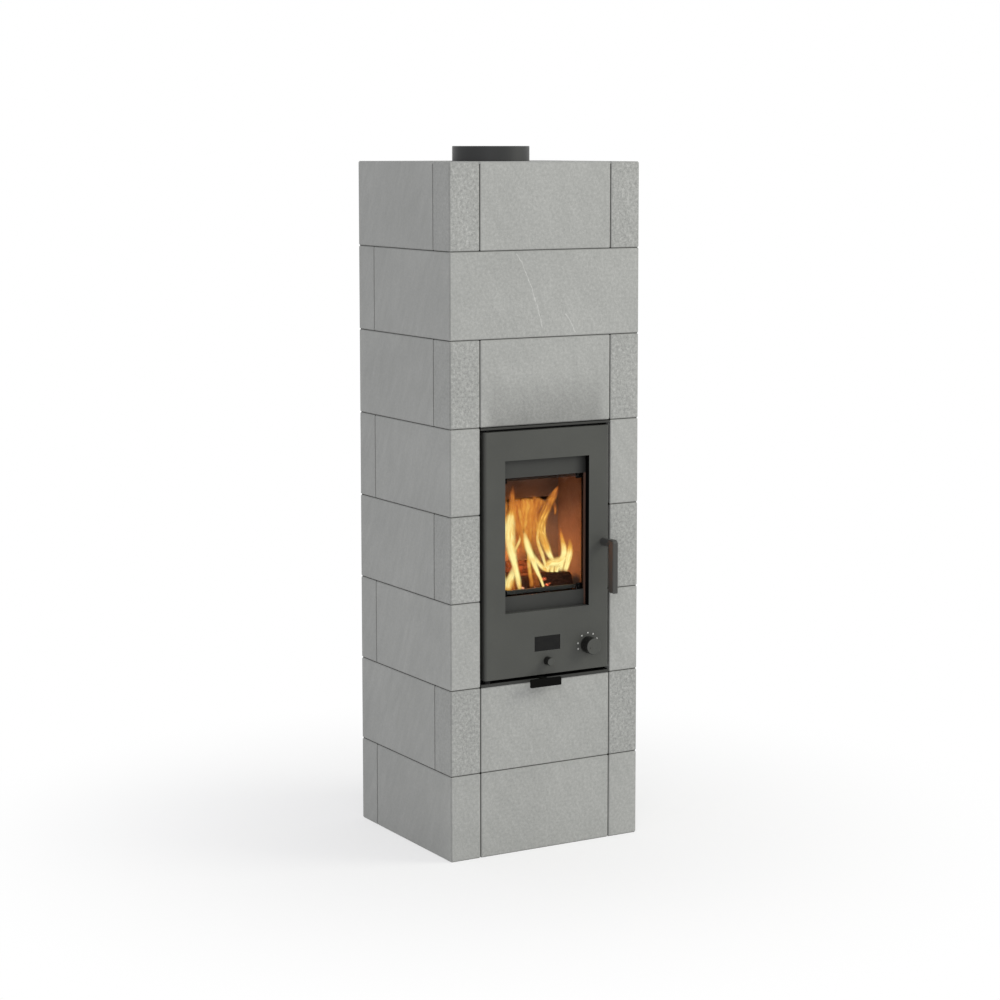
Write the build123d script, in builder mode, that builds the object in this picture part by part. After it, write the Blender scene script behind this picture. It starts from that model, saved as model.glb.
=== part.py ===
from build123d import *

import os
from math import cos, radians, sin

# Soapstone wood-burning stove: a column of stacked stones around a steel insert.
# The insert has a glazed door, a rotary air dial and a sliding air damper.
# Frame: origin on the floor at the centre of the footprint, +Z up, the door looks to -Y.
# All sizes are in millimetres. Courses are listed and counted from the floor up.

os.makedirs("parts", exist_ok=True)

# Stone column
stove_width = 450.0
stove_depth = 400.0
course_height = 178.0
course_kinds = ("slab", "corner", "slab", "corner", "slab", "corner", "mitred", "corner")
courses_below_door = 2
door_courses = 3
stone_thickness = 70.0
arris = 2.7
top_slab_thickness = 40.0
slab_play = 1.0

# Clearances
seat_gap = 0.3
slide_gap = 0.2
running_play = 0.06
fixed_play = 0.05
lining_play = 0.2

# Door surround, the steel frame in the stone opening
surround_play = 1.0
surround_plate = 4.0
top_flange = 4.5
bottom_flange = 6.0
side_flange = 2.0
side_flange_depth = 8.0
fire_opening_drop = 49.0
fire_sill = 12.0
ash_opening_rise = 34.0
opening_corner = 6.0
neck_slot_play = 1.0

# Door panel, a folded steel tray with its open side to the fire
door_gap_top = 4.5
door_gap_bottom = 8.0
door_gap_side = 6.0
panel_proud = 6.0
sheet = 3.0
fold_depth = 20.0
fold_radius = 5.0
window_side = 48.5
window_drop = 60.5
window_rise = 134.5
window_recess = 14.0
intake_slot_count = 5
intake_slot_length = 24.0
intake_slot_width = 7.0
intake_slot_pitch = 36.0

# Inner door frame, glass and seals
frame_play = 1.0
inner_plate = 4.0
pane_side_strip = 3.5
pane_top_strip = 37.5
glass_thickness = 4.0
glass_overlap = 10.0
tape_thickness = 1.0
tape_width = 8.0
rope_size = 10.0
rope_margin = 4.0
rope_round = 3.0

# Glass clips
clip_inset = 4.0
clip_width = 20.0
clip_sheet = 2.0
clip_reach = 12.0
clip_foot = 9.8
clip_play = 1.0
screw_radius = 2.0
screw_head_radius = 3.6
screw_head_height = 2.6

# Door hinge
hinge_inset = 12.0
hinge_set_back = 12.0
hinge_pin_radius = 4.0
hinge_collar_radius = 6.5
hinge_block_width = 16.0
hinge_block_height = 18.0
hinge_end_play = 2.0
hinge_notch_play = 1.0

# Handle and latch
handle_inset = 13.5
handle_rise = 265.5
standoff_radius = 8.0
spindle_radius = 5.0
spindle_hole_play = 1.0
grip_length = 111.5
grip_width = 13.0
grip_depth = 20.0
grip_protrusion = 48.5
grip_head = 1.0
grip_corner = 8.0
grip_round = 2.5
bush_radius = 7.5
bush_length = 2.0
tongue_thickness = 4.0
tongue_width = 12.0
hub_play = 1.0
catch_sheet = 0.8
catch_height = 44.0
catch_bow = 1.6
catch_foot = 4.0
catch_gap = 0.4

# Air dial and its rotary disc
dial_inset = 50.5
dial_rise = 51.5
knob_radius = 17.5
knob_length = 25.0
knob_round = 1.5
knob_socket_depth = 14.0
pointer_angle = 197.0
pointer_circle = 10.5
pointer_radius = 1.6
pointer_depth = 0.8
dial_shaft_radius = 4.0
dial_shaft_tail = 3.0
disc_radius = 27.0
disc_thickness = 2.0
port_angle = 90.0
port_circle = 17.5
port_radius = 5.5
spiral_start_angle = 15.0
spiral_sweep_angle = 270.0
spiral_points = 7

# Display, push button and circuit board
display_width = 61.0
display_height = 30.5
display_rise = 64.75
display_play = 0.3
display_sunk = 0.6
display_glass_thickness = 2.8
display_rim = 3.0
button_rise = 27.5
button_radius = 8.5
button_proud = 16.0
button_travel = 3.0
button_round = 1.0
button_play = 0.4
button_flange_radius = 10.5
button_flange = 1.5
board_width = 76.0
board_height = 70.0
board_rise = 18.0
board_thickness = 1.6
board_stand_off = 2.4
board_post_radius = 2.5
board_post_inset = 6.0
switch_radius = 4.0
spring_base_radius = 7.5
spring_tip_radius = 5.5
spring_wall = 0.6

# Air damper under the door
damper_position = -14.0
damper_travel = 24.0
damper_slot_pitch = 96.0
damper_slot_depth = 20.0
damper_margin = 4.0
damper_set_back = 19.0
damper_sheet = 3.0
damper_neck_width = 12.0
tab_width = 73.0
tab_height = 17.0
tab_sheet = 4.0
tab_protrusion = 25.0
tab_round = 2.0

# Insert, air box, duct and plinth
insert_side_gap = 7.0
insert_back_gap = 12.0
insert_top_gap = 6.0
insert_wall = 4.0
damper_space = 4.0
shelf_rise = 108.0
foot_rail_gap = 17.0
foot_rail_back_inset = 8.0
plinth_side_gap = 5.0
plinth_end_gap = 5.0
air_box_height = 32.0
air_box_sheet = 2.0
air_box_rim = 6.0
air_box_rear = 10.0
air_box_play = 2.0
duct_radius = 50.0
duct_wall = 1.5

# Linings, baffle, grate, ash pan and log guard
side_lining = 29.0
back_lining = 30.0
floor_lining = 34.0
fire_depth = 115.7
smoke_space = 65.0
air_slot_rise = 238.0
air_slot_height = 4.0
air_slot_margin = 10.0
air_slot_bridge = 8.0
air_slot_count = 5
baffle_thickness = 25.0
baffle_front_gap = 28.7
baffle_bevel = 8.0
grate_length = 121.0
grate_depth = 61.0
grate_play = 0.5
grate_wall = 6.0
grate_top = 10.0
grate_slot_width = 7.0
grate_slot_pitch = 13.0
grate_slot_count = 8
grate_slot_inset = 9.0
grate_seat = 10.0
pan_height = 62.0
pan_depth = 82.0
pan_side_play = 5.0
pan_floor_play = 2.0
pan_sheet = 1.5
pan_taper = 6.0
pan_front_gap = 28.0
pan_lip_width = 60.0
pan_lip_depth = 10.0
runner_overlap = 10.0
guard_height = 8.0
guard_thickness = 6.0
guard_set_back = 1.7
guard_end_play = 3.0
guard_round = 1.0

# Flue
flue_set_back = 103.0
flue_pipe_radius = 75.0
flue_pipe_wall = 2.0
flue_ring_height = 12.0
flue_ring_wall = 4.5
flue_hole_play = 2.7
collar_wall = 5.55
collar_rise = 31.5
collar_ledge = 6.0
collar_ledge_width = 4.7
collar_skirt = 30.0
collar_bevel = 1.0
socket_play = 0.75
socket_depth = 60.0

# Heat storage stones inside the column
storage_side_gap = 5.0
storage_layers = 4
storage_split = 1.0
storage_play = 0.5

# Stone column, worked out
half_width = stove_width / 2
half_depth = stove_depth / 2
inner_half_width = half_width - stone_thickness
inner_half_depth = half_depth - stone_thickness
stone_top = len(course_kinds) * course_height
slab_bottom = stone_top - top_slab_thickness
opening_bottom = courses_below_door * course_height
opening_top = (courses_below_door + door_courses) * course_height
stone_front = -half_depth

# Depths through the door, from the room to the fire
panel_front = stone_front - panel_proud
panel_inner = panel_front + sheet
panel_back = panel_front + fold_depth
plate_front = panel_front + window_recess
plate_back = plate_front + inner_plate
glass_front = plate_back + tape_thickness
glass_back = glass_front + glass_thickness
rope_back = plate_back + rope_size
surround_front = rope_back + seat_gap
surround_back = surround_front + surround_plate

# Heights and widths of the door
surround_half_width = inner_half_width - surround_play
surround_bottom = opening_bottom
surround_top = opening_top - surround_play
panel_half_width = inner_half_width - door_gap_side
panel_bottom = surround_bottom + bottom_flange + door_gap_bottom
panel_top = surround_top - top_flange - door_gap_top
window_half_width = panel_half_width - window_side
window_bottom = panel_bottom + window_rise
window_top = panel_top - window_drop
frame_half_width = panel_half_width - sheet - frame_play
frame_bottom = panel_bottom + sheet + frame_play
frame_top = panel_top - sheet - frame_play

# Places on the door
hinge_x = -(panel_half_width - hinge_inset)
hinge_y = panel_front + hinge_set_back
handle_x = panel_half_width - handle_inset
handle_z = panel_bottom + handle_rise
dial_x = panel_half_width - dial_inset
dial_z = panel_bottom + dial_rise
display_z = panel_bottom + display_rise
button_z = panel_bottom + button_rise

# Insert and what it holds
insert_bottom = surround_bottom + bottom_flange + damper_space
insert_top = opening_top - insert_top_gap
insert_half_width = inner_half_width - insert_side_gap
insert_back = inner_half_depth - insert_back_gap
chamber_half_width = insert_half_width - insert_wall
chamber_back = insert_back - insert_wall
plinth_top = insert_bottom - damper_space
plinth_outer = inner_half_width - plinth_side_gap
air_box_half_width = damper_slot_pitch / 2 + damper_travel + air_box_rim
plinth_inner = air_box_half_width + air_box_play
damper_centre_y = damper_set_back - inner_half_depth
damper_back = damper_centre_y + damper_slot_depth / 2 + damper_margin
shelf_top = insert_bottom + shelf_rise
fire_half_width = chamber_half_width - side_lining
fire_back = surround_back + fire_depth
lining_back_face = fire_back + back_lining
fire_floor = shelf_top + floor_lining
lining_top = insert_top - insert_wall - smoke_space - baffle_thickness
grate_y = (surround_back + fire_back) / 2
flue_y = inner_half_depth - flue_set_back
socket_radius = flue_pipe_radius + socket_play
collar_radius = socket_radius + collar_wall
flue_hole_radius = collar_radius + flue_hole_play

# Openings of the surround, with the rope seals between them and the latch
rope_half_width = handle_x - bush_radius - hub_play
fire_half_opening = rope_half_width - rope_size - rope_margin
fire_opening_bottom = fire_floor + fire_sill
fire_opening_top = surround_top - fire_opening_drop
ash_opening_bottom = opening_bottom + ash_opening_rise
ash_opening_top = shelf_top
pan_half_width = fire_half_opening - pan_side_play
pan_bottom = ash_opening_bottom + pan_floor_play
pan_front = surround_back + pan_front_gap

# Pane, glass and clips; the lower clips stand on the frame just inside the rope seal
clip_bottom = fire_opening_bottom - rope_margin + lining_play
glass_bottom = clip_bottom + clip_foot + clip_play
pane_bottom = glass_bottom + glass_overlap
pane_top = window_top - pane_top_strip
pane_half_width = window_half_width - pane_side_strip
glass_half_width = pane_half_width + glass_overlap
glass_top = pane_top + glass_overlap
glass_middle = (glass_bottom + glass_top) / 2
clip_offset = pane_half_width - clip_inset
clip_screw_z = glass_top + clip_play + clip_sheet + (clip_foot - clip_sheet) / 2


def middle(span):
    """Midpoint of a pair of limits."""
    return (span[0] + span[1]) / 2


def length(span):
    """Distance between a pair of limits."""
    return span[1] - span[0]


def both(half):
    """Limits at the same distance on both sides of zero."""
    return (-half, half)


def around(centre, half):
    """Limits at the same distance on both sides of a centre."""
    return (centre - half, centre + half)


def block(x_span, y_span, z_span, mode=Mode.ADD):
    """Box between three pairs of limits, in the part that is open."""
    with Locations((middle(x_span), middle(y_span), middle(z_span))):
        Box(length(x_span), length(y_span), length(z_span), mode=mode)


def patch(first_span, second_span, mode=Mode.ADD):
    """Rectangle between two pairs of limits, in the sketch that is open."""
    with Locations((middle(first_span), middle(second_span))):
        Rectangle(length(first_span), length(second_span), mode=mode)


def front_plane(y):
    """Upright plane at depth y that looks into the room; sketches on it use x and z."""
    return Plane.XZ.offset(-y)


def level_plane(z):
    """Level plane at height z; sketches on it use x and y."""
    return Plane.XY.offset(z)


def finish(piece, name):
    """Label a finished piece and write it out."""
    piece.part.label = name
    export_step(piece.part, f"parts/{name}.step")


def course_span(course):
    """Lowest and highest z of a course, counted from the floor."""
    return ((course - 1) * course_height, course * course_height)


def mirrored(x_span, y_span):
    """Plan of a piece and of its twin on the other side of the stove."""
    twin = (-x_span[1], -x_span[0])
    return [(twin, y_span), (x_span, y_span)]


def lay_stones(name, course, plans):
    """Block-shaped stones of one kind in one course, with their arrises broken."""
    with BuildPart() as stones:
        for x_span, y_span in plans:
            block(x_span, y_span, course_span(course))
        chamfer(stones.edges(), arris)
    finish(stones, name)


def lay_mitred_front(name, course):
    """Front stone whose ends are cut at 45 degrees, so that the corner hides the joint."""
    low, high = course_span(course)
    with BuildPart() as stone:
        with BuildSketch(level_plane(low)):
            with BuildLine():
                Polyline(
                    (-half_width + arris, -half_depth),
                    (half_width - arris, -half_depth),
                    (half_width - arris / 2, -half_depth + arris / 2),
                    (inner_half_width, -inner_half_depth),
                    (-inner_half_width, -inner_half_depth),
                    (-half_width + arris / 2, -half_depth + arris / 2),
                    close=True,
                )
            make_face()
        extrude(amount=high - low)
        chamfer(stone.edges().filter_by(Axis.X).group_by(Axis.Y)[0], arris)
    finish(stone, name)


def lay_mitred_sides(name, course):
    """Side stones that meet the mitred front stone."""
    low, high = course_span(course)
    with BuildPart() as stones:
        with BuildSketch(level_plane(low)):
            with BuildLine():
                Polyline(
                    (half_width, -half_depth + arris),
                    (half_width - arris / 2, -half_depth + arris / 2),
                    (inner_half_width, -inner_half_depth),
                    (inner_half_width, inner_half_depth),
                    (half_width, inner_half_depth),
                    close=True,
                )
            make_face()
        extrude(amount=high - low)
        outer_face = stones.faces().sort_by(Axis.X)[-1]
        chamfer(outer_face.edges().sort_by(Axis.Y)[1:], arris)
        mirror(about=Plane.YZ)
    finish(stones, name)


# Stone courses. In a corner course the corners are blocks of their own, in a slab course the
# side slabs run to the front, and in the mitred course the front stone hides its joints.
side_x = (inner_half_width, half_width)
front_y = (-half_depth, -inner_half_depth)
back_y = (inner_half_depth, half_depth)

for course, kind in enumerate(course_kinds, start=1):
    course_name = f"course_{course}"
    beside_door = courses_below_door < course <= courses_below_door + door_courses
    if kind == "corner":
        sides_to_back = mirrored(side_x, (-inner_half_depth, half_depth))
        lay_stones(f"{course_name}_side_stones", course, sides_to_back)
        lay_stones(f"{course_name}_corner_blocks", course, mirrored(side_x, front_y))
        lay_stones(f"{course_name}_back_stone", course, [(both(inner_half_width), back_y)])
    else:
        lay_stones(f"{course_name}_back_stone", course, [(both(half_width), back_y)])
    if kind == "slab":
        sides_to_front = mirrored(side_x, (-half_depth, inner_half_depth))
        lay_stones(f"{course_name}_side_stones", course, sides_to_front)
    if kind == "mitred":
        lay_mitred_sides(f"{course_name}_side_stones", course)
        lay_mitred_front(f"{course_name}_front_stone", course)
    elif not beside_door:
        lay_stones(f"{course_name}_front_stone", course, [(both(inner_half_width), front_y)])

# Top slab, let in flush with the highest course
with BuildPart() as top_slab:
    block(
        both(inner_half_width - slab_play),
        both(inner_half_depth - slab_play),
        (slab_bottom, stone_top),
    )
    chamfer(top_slab.edges(), arris)
    with BuildSketch(level_plane(slab_bottom)):
        with Locations((0, flue_y)):
            Circle(flue_hole_radius)
    extrude(amount=top_slab_thickness, mode=Mode.SUBTRACT)
finish(top_slab, "top_slab")

# Plinth stones that carry the insert, with the fresh-air duct between them
with BuildPart() as plinth_stones:
    plinth_y = both(inner_half_depth - plinth_end_gap)
    for x_span, y_span in mirrored((plinth_inner, plinth_outer), plinth_y):
        block(x_span, y_span, (0, plinth_top))
    chamfer(plinth_stones.edges().filter_by(Axis.Z), arris)
finish(plinth_stones, "plinth_stones")

air_box_bottom = plinth_top - air_box_height
with BuildPart() as air_duct:
    with BuildSketch():
        Circle(duct_radius)
        Circle(duct_radius - duct_wall, mode=Mode.SUBTRACT)
    extrude(amount=air_box_bottom + air_box_sheet)
finish(air_duct, "air_duct")


def damper_slots(centre_x):
    """The two air slots of the damper, in the sketch that is open."""
    with Locations((centre_x, damper_centre_y)):
        with GridLocations(damper_slot_pitch, damper_slot_depth, 2, 1):
            Rectangle(2 * damper_travel, damper_slot_depth)


# Air box under the insert; its slotted lid is the fixed half of the damper
air_box_front = air_box_play - inner_half_depth
air_box_back = duct_radius + air_box_rear
with BuildPart() as air_box:
    block(both(air_box_half_width), (air_box_front, air_box_back), (air_box_bottom, plinth_top))
    block(
        both(air_box_half_width - air_box_sheet),
        (air_box_front + air_box_sheet, air_box_back - air_box_sheet),
        (air_box_bottom + air_box_sheet, plinth_top - air_box_sheet),
        mode=Mode.SUBTRACT,
    )
    with BuildSketch(level_plane(air_box_bottom)):
        Circle(duct_radius + fixed_play)
    extrude(amount=air_box_sheet, mode=Mode.SUBTRACT)
    with BuildSketch(level_plane(plinth_top)):
        damper_slots(0)
    extrude(amount=-air_box_sheet, mode=Mode.SUBTRACT)
finish(air_box, "air_box")

# Sliding damper with its neck and finger tab
damper_bottom = plinth_top + slide_gap
damper_top = damper_bottom + damper_sheet
damper_half_width = damper_slot_pitch / 2 + 2 * damper_travel + damper_margin
damper_y = (2 * damper_centre_y - damper_back, damper_back)
tab_front = stone_front - tab_protrusion
with BuildPart() as air_damper:
    block(around(damper_position, damper_half_width), damper_y, (damper_bottom, damper_top))
    with BuildSketch(level_plane(damper_bottom)):
        damper_slots(damper_position - damper_travel)
    extrude(amount=damper_sheet, mode=Mode.SUBTRACT)
    block(
        around(damper_position, damper_neck_width / 2),
        (tab_front, damper_y[0]),
        (damper_bottom, damper_top),
    )
    with BuildSketch(front_plane(tab_front + tab_sheet)) as tab_outline:
        patch(around(damper_position, tab_width / 2), (damper_top - tab_height, damper_top))
        fillet(tab_outline.vertices(), tab_round)
    extrude(amount=tab_sheet)
finish(air_damper, "air_damper")

# Insert: one welded body with the fire chamber over the ash chamber
shelf_bottom = shelf_top - insert_wall
runner_inner = pan_half_width - pan_taper - runner_overlap / 2
with BuildPart() as firebox_body:
    block(both(insert_half_width), (surround_back, insert_back), (insert_bottom, insert_top))
    for z_span in (
        (insert_bottom + insert_wall, shelf_bottom),
        (shelf_top, insert_top - insert_wall),
    ):
        block(both(chamber_half_width), (surround_back, chamber_back), z_span, mode=Mode.SUBTRACT)
    with BuildSketch(level_plane(shelf_bottom)):
        with Locations((0, grate_y)):
            Rectangle(grate_length - 2 * grate_seat, grate_depth - 2 * grate_seat)
    extrude(amount=insert_wall, mode=Mode.SUBTRACT)
    with BuildSketch(level_plane(insert_bottom)):
        damper_slots(0)
    extrude(amount=insert_wall, mode=Mode.SUBTRACT)
    with BuildSketch(level_plane(insert_top)):
        with Locations((0, flue_y)):
            Circle(flue_pipe_radius + seat_gap + flue_ring_wall)
            Circle(flue_pipe_radius + seat_gap, mode=Mode.SUBTRACT)
    extrude(amount=flue_ring_height)
    with BuildSketch(level_plane(insert_top - insert_wall)):
        with Locations((0, flue_y)):
            Circle(flue_pipe_radius - flue_pipe_wall)
    extrude(amount=insert_wall, mode=Mode.SUBTRACT)
    runner_y = (surround_back, pan_front + pan_depth)
    for x_span, y_span in mirrored((runner_inner, chamber_half_width), runner_y):
        block(x_span, y_span, (pan_bottom - insert_wall, pan_bottom))
    rail_y = (damper_back + foot_rail_gap, insert_back - foot_rail_back_inset)
    for x_span, y_span in mirrored((plinth_inner, insert_half_width), rail_y):
        block(x_span, y_span, (plinth_top, insert_bottom))
finish(firebox_body, "firebox_body")

# Linings of the fire chamber
lining_front = surround_back + lining_play
side_lining_x = (fire_half_width, chamber_half_width - lining_play)
with BuildPart() as lining_sides:
    for x_span, y_span in mirrored(side_lining_x, (lining_front, lining_back_face)):
        block(x_span, y_span, (shelf_top, lining_top))
finish(lining_sides, "lining_sides")

inner_lining_x = both(fire_half_width - lining_play)
air_slot_pitch = 2 * (fire_half_width - air_slot_margin) / air_slot_count
with BuildPart() as lining_back:
    block(inner_lining_x, (fire_back, lining_back_face), (shelf_top, lining_top))
    with BuildSketch(front_plane(lining_back_face)):
        with Locations((0, shelf_top + air_slot_rise)):
            with GridLocations(air_slot_pitch, air_slot_height, air_slot_count, 1):
                Rectangle(air_slot_pitch - air_slot_bridge, air_slot_height)
    extrude(amount=back_lining, mode=Mode.SUBTRACT)
finish(lining_back, "lining_back")

with BuildPart() as lining_floor:
    block(inner_lining_x, (lining_front, fire_back - lining_play), (shelf_top, fire_floor))
    with BuildSketch(level_plane(shelf_top)):
        with Locations((0, grate_y)):
            Rectangle(grate_length + 2 * grate_play, grate_depth + 2 * grate_play)
    extrude(amount=floor_lining, mode=Mode.SUBTRACT)
finish(lining_floor, "lining_floor")

with BuildPart() as baffle_plate:
    block(
        both(chamber_half_width - lining_play),
        (surround_back + baffle_front_gap, lining_back_face),
        (lining_top, lining_top + baffle_thickness),
    )
    front_edges = baffle_plate.edges().filter_by(Axis.X).group_by(Axis.Y)[0]
    chamfer(front_edges.sort_by(Axis.Z)[-1], baffle_bevel)
finish(baffle_plate, "baffle_plate")

# Cast grate: a slotted plate on a skirt
with BuildPart() as grate:
    block(
        both(grate_length / 2),
        around(grate_y, grate_depth / 2),
        (shelf_top, fire_floor),
    )
    block(
        both(grate_length / 2 - grate_wall),
        around(grate_y, grate_depth / 2 - grate_wall),
        (shelf_top, fire_floor - grate_top),
        mode=Mode.SUBTRACT,
    )
    with BuildSketch(level_plane(fire_floor)):
        with Locations((0, grate_y)):
            with GridLocations(grate_slot_pitch, grate_slot_width, grate_slot_count, 1):
                SlotOverall(grate_depth - 2 * grate_slot_inset, grate_slot_width, rotation=90)
    extrude(amount=-grate_top, mode=Mode.SUBTRACT)
finish(grate, "grate")

# Ash pan: a tapered tray that stands on the runners, with a lip to pull it by
pan_centre_y = pan_front + pan_depth / 2
pan_top = pan_bottom + pan_height
with BuildPart() as ash_pan:
    for z, shrink in ((pan_bottom, pan_taper), (pan_top, 0)):
        with BuildSketch(level_plane(z)):
            with Locations((0, pan_centre_y)):
                Rectangle(2 * (pan_half_width - shrink), pan_depth - 2 * shrink)
    loft()
    offset(amount=-pan_sheet, openings=ash_pan.faces().sort_by(Axis.Z)[-1])
    block(
        both(pan_lip_width / 2),
        (pan_front - pan_lip_depth, pan_front + pan_sheet),
        (pan_top - pan_sheet, pan_top),
    )
finish(ash_pan, "ash_pan")

# Log guard: a bar across the fire opening on two legs
guard_y = (surround_back + guard_set_back, surround_back + guard_set_back + guard_thickness)
guard_half_width = fire_half_width - guard_end_play
guard_bottom = pane_bottom
with BuildPart() as log_guard:
    block(both(guard_half_width), guard_y, (guard_bottom, guard_bottom + guard_height))
    for x_span, y_span in mirrored((guard_half_width - guard_thickness, guard_half_width), guard_y):
        block(x_span, y_span, (fire_floor, guard_bottom))
    fillet(log_guard.edges().filter_by(Axis.X).group_by(Axis.Z)[-1], guard_round)
finish(log_guard, "log_guard")

# Flue pipe and the collar with the socket for the chimney pipe
socket_bottom = stone_top + collar_rise - socket_depth
ledge_bottom = socket_bottom - collar_ledge
with BuildPart() as flue_pipe:
    with BuildSketch(level_plane(insert_top)):
        with Locations((0, flue_y)):
            Circle(flue_pipe_radius)
            Circle(flue_pipe_radius - flue_pipe_wall, mode=Mode.SUBTRACT)
    extrude(amount=ledge_bottom - insert_top)
finish(flue_pipe, "flue_pipe")

with BuildPart() as flue_collar:
    with BuildSketch(front_plane(flue_y)):
        with BuildLine():
            Polyline(
                (collar_radius, ledge_bottom - collar_skirt),
                (collar_radius, stone_top + collar_rise - collar_bevel),
                (collar_radius - collar_bevel, stone_top + collar_rise),
                (socket_radius, stone_top + collar_rise),
                (socket_radius, socket_bottom),
                (socket_radius - collar_ledge_width, socket_bottom),
                (socket_radius - collar_ledge_width, ledge_bottom),
                (flue_pipe_radius + seat_gap, ledge_bottom),
                (flue_pipe_radius + seat_gap, ledge_bottom - collar_skirt),
                close=True,
            )
        make_face()
    revolve(axis=Axis((0, flue_y, 0), (0, 0, 1)))
finish(flue_collar, "flue_collar")

# Heat storage stones: halved rings around the flue, and blocks behind the fire
storage_half_width = inner_half_width - storage_side_gap
storage_layer = (slab_bottom - insert_top) / storage_layers
with BuildPart() as storage_stones:
    for layer in range(storage_layers):
        layer_bottom = insert_top + layer * storage_layer
        for x_span, y_span in mirrored(
            (storage_split / 2, storage_half_width),
            both(inner_half_depth - storage_side_gap),
        ):
            block(x_span, y_span, (layer_bottom, layer_bottom + storage_layer - lining_play))
    with BuildSketch(level_plane(insert_top)):
        with Locations((0, flue_y)):
            Circle(flue_hole_radius)
    extrude(amount=slab_bottom - insert_top, mode=Mode.SUBTRACT)
    for x_span, y_span in mirrored(
        (storage_split / 2, chamber_half_width - storage_play),
        (lining_back_face + storage_play, chamber_back - storage_play),
    ):
        block(x_span, y_span, (shelf_top, lining_top))
finish(storage_stones, "storage_stones")

# Door surround: the sealing plate with flanges forward to the stone face
with BuildPart() as front_frame:
    with BuildSketch(front_plane(surround_back)):
        patch(both(surround_half_width), (surround_bottom, surround_top))
    extrude(amount=surround_plate)
    for z_span in (
        (fire_opening_bottom, fire_opening_top),
        (ash_opening_bottom, ash_opening_top),
    ):
        with BuildSketch(front_plane(surround_back)) as opening:
            patch(both(fire_half_opening), z_span)
            fillet(opening.vertices(), opening_corner)
        extrude(amount=surround_plate, mode=Mode.SUBTRACT)
    with BuildSketch(front_plane(surround_back)):
        patch(
            both(damper_travel + damper_neck_width / 2 + neck_slot_play),
            (plinth_top, insert_bottom),
        )
    extrude(amount=surround_plate, mode=Mode.SUBTRACT)
    for z_span in (
        (surround_bottom, surround_bottom + bottom_flange),
        (surround_top - top_flange, surround_top),
    ):
        block(both(surround_half_width), (stone_front, surround_front), z_span)
    flange_y = (surround_front - side_flange_depth, surround_front)
    flange_x = (surround_half_width - side_flange, surround_half_width)
    for x_span, y_span in mirrored(flange_x, flange_y):
        block(x_span, y_span, (surround_bottom + bottom_flange, surround_top - top_flange))
    with BuildSketch(level_plane(surround_bottom)):
        with Locations((hinge_x, hinge_y)):
            Circle(hinge_pin_radius + fixed_play)
    extrude(amount=surround_top - surround_bottom, mode=Mode.SUBTRACT)
finish(front_frame, "front_frame")

# Hinge pins: the lower one carries the door on its collar
block_spans = (
    (frame_bottom, frame_bottom + hinge_block_height),
    (frame_top - hinge_block_height, frame_top),
)
with BuildPart() as hinge_pins:
    pins = (
        (hinge_pin_radius, surround_bottom, block_spans[0][1] - hinge_end_play),
        (hinge_collar_radius, surround_bottom + bottom_flange, frame_bottom - slide_gap),
        (hinge_pin_radius, block_spans[1][0] + hinge_end_play, surround_top),
    )
    for radius, low, high in pins:
        with BuildSketch(level_plane(low)):
            with Locations((hinge_x, hinge_y)):
                Circle(radius)
        extrude(amount=high - low)
finish(hinge_pins, "hinge_pins")

# Latch catch: a bowed leaf spring on the side flange, beside the tip of the tongue
catch_x = surround_half_width - side_flange
catch_crown = catch_x - catch_bow
with BuildPart() as latch_catch:
    with BuildSketch(front_plane(surround_front - tongue_thickness / 2)):
        with BuildLine():
            ThreePointArc(
                (catch_x, handle_z - catch_height / 2),
                (catch_crown, handle_z),
                (catch_x, handle_z + catch_height / 2),
            )
            Line(
                (catch_x, handle_z + catch_height / 2),
                (catch_x, handle_z + catch_height / 2 - catch_foot),
            )
            ThreePointArc(
                (catch_x, handle_z + catch_height / 2 - catch_foot),
                (catch_crown + catch_sheet, handle_z),
                (catch_x, handle_z - catch_height / 2 + catch_foot),
            )
            Line(
                (catch_x, handle_z - catch_height / 2 + catch_foot),
                (catch_x, handle_z - catch_height / 2),
            )
        make_face()
    extrude(amount=tongue_thickness)
finish(latch_catch, "latch_catch")


def hinge_notch(radius):
    """Keyhole open to the back, so that the panel goes over the hinge from the front."""
    with Locations((hinge_x, hinge_y)):
        Circle(radius)
    patch(around(hinge_x, radius), (hinge_y, panel_back))


# Door panel: a folded tray with returned window lips
with BuildPart() as door_panel:
    with BuildSketch(front_plane(panel_back)):
        patch(both(panel_half_width), (panel_bottom, panel_top))
    extrude(amount=fold_depth)
    fillet(door_panel.edges().filter_by(Axis.Z).group_by(Axis.Y)[0], fold_radius)
    offset(amount=-sheet, openings=door_panel.faces().sort_by(Axis.Y)[-1])
    with BuildSketch(front_plane(plate_front)):
        patch(both(window_half_width + sheet), (window_bottom - sheet, window_top + sheet))
    extrude(amount=window_recess - sheet)
    with BuildSketch(front_plane(plate_front)):
        patch(both(window_half_width), (window_bottom, window_top))
    extrude(amount=window_recess, mode=Mode.SUBTRACT)
    with BuildSketch(front_plane(panel_inner)):
        with Locations((0, display_z)):
            Rectangle(display_width + 2 * display_play, display_height + 2 * display_play)
        with Locations((0, button_z)):
            Circle(button_radius + button_play)
        with Locations((handle_x, handle_z)):
            Circle(spindle_radius + spindle_hole_play)
        with Locations((dial_x, dial_z)):
            Circle(dial_shaft_radius + spindle_hole_play)
    extrude(amount=sheet, mode=Mode.SUBTRACT)
    with BuildSketch(level_plane(panel_bottom)):
        hinge_notch(hinge_collar_radius + hinge_notch_play)
        with Locations((0, (panel_inner + plate_front) / 2)):
            with GridLocations(intake_slot_pitch, intake_slot_width, intake_slot_count, 1):
                Rectangle(intake_slot_length, intake_slot_width)
    extrude(amount=sheet, mode=Mode.SUBTRACT)
    with BuildSketch(level_plane(panel_top)):
        hinge_notch(hinge_pin_radius + hinge_notch_play)
    extrude(amount=-sheet, mode=Mode.SUBTRACT)
finish(door_panel, "door_panel")

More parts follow.
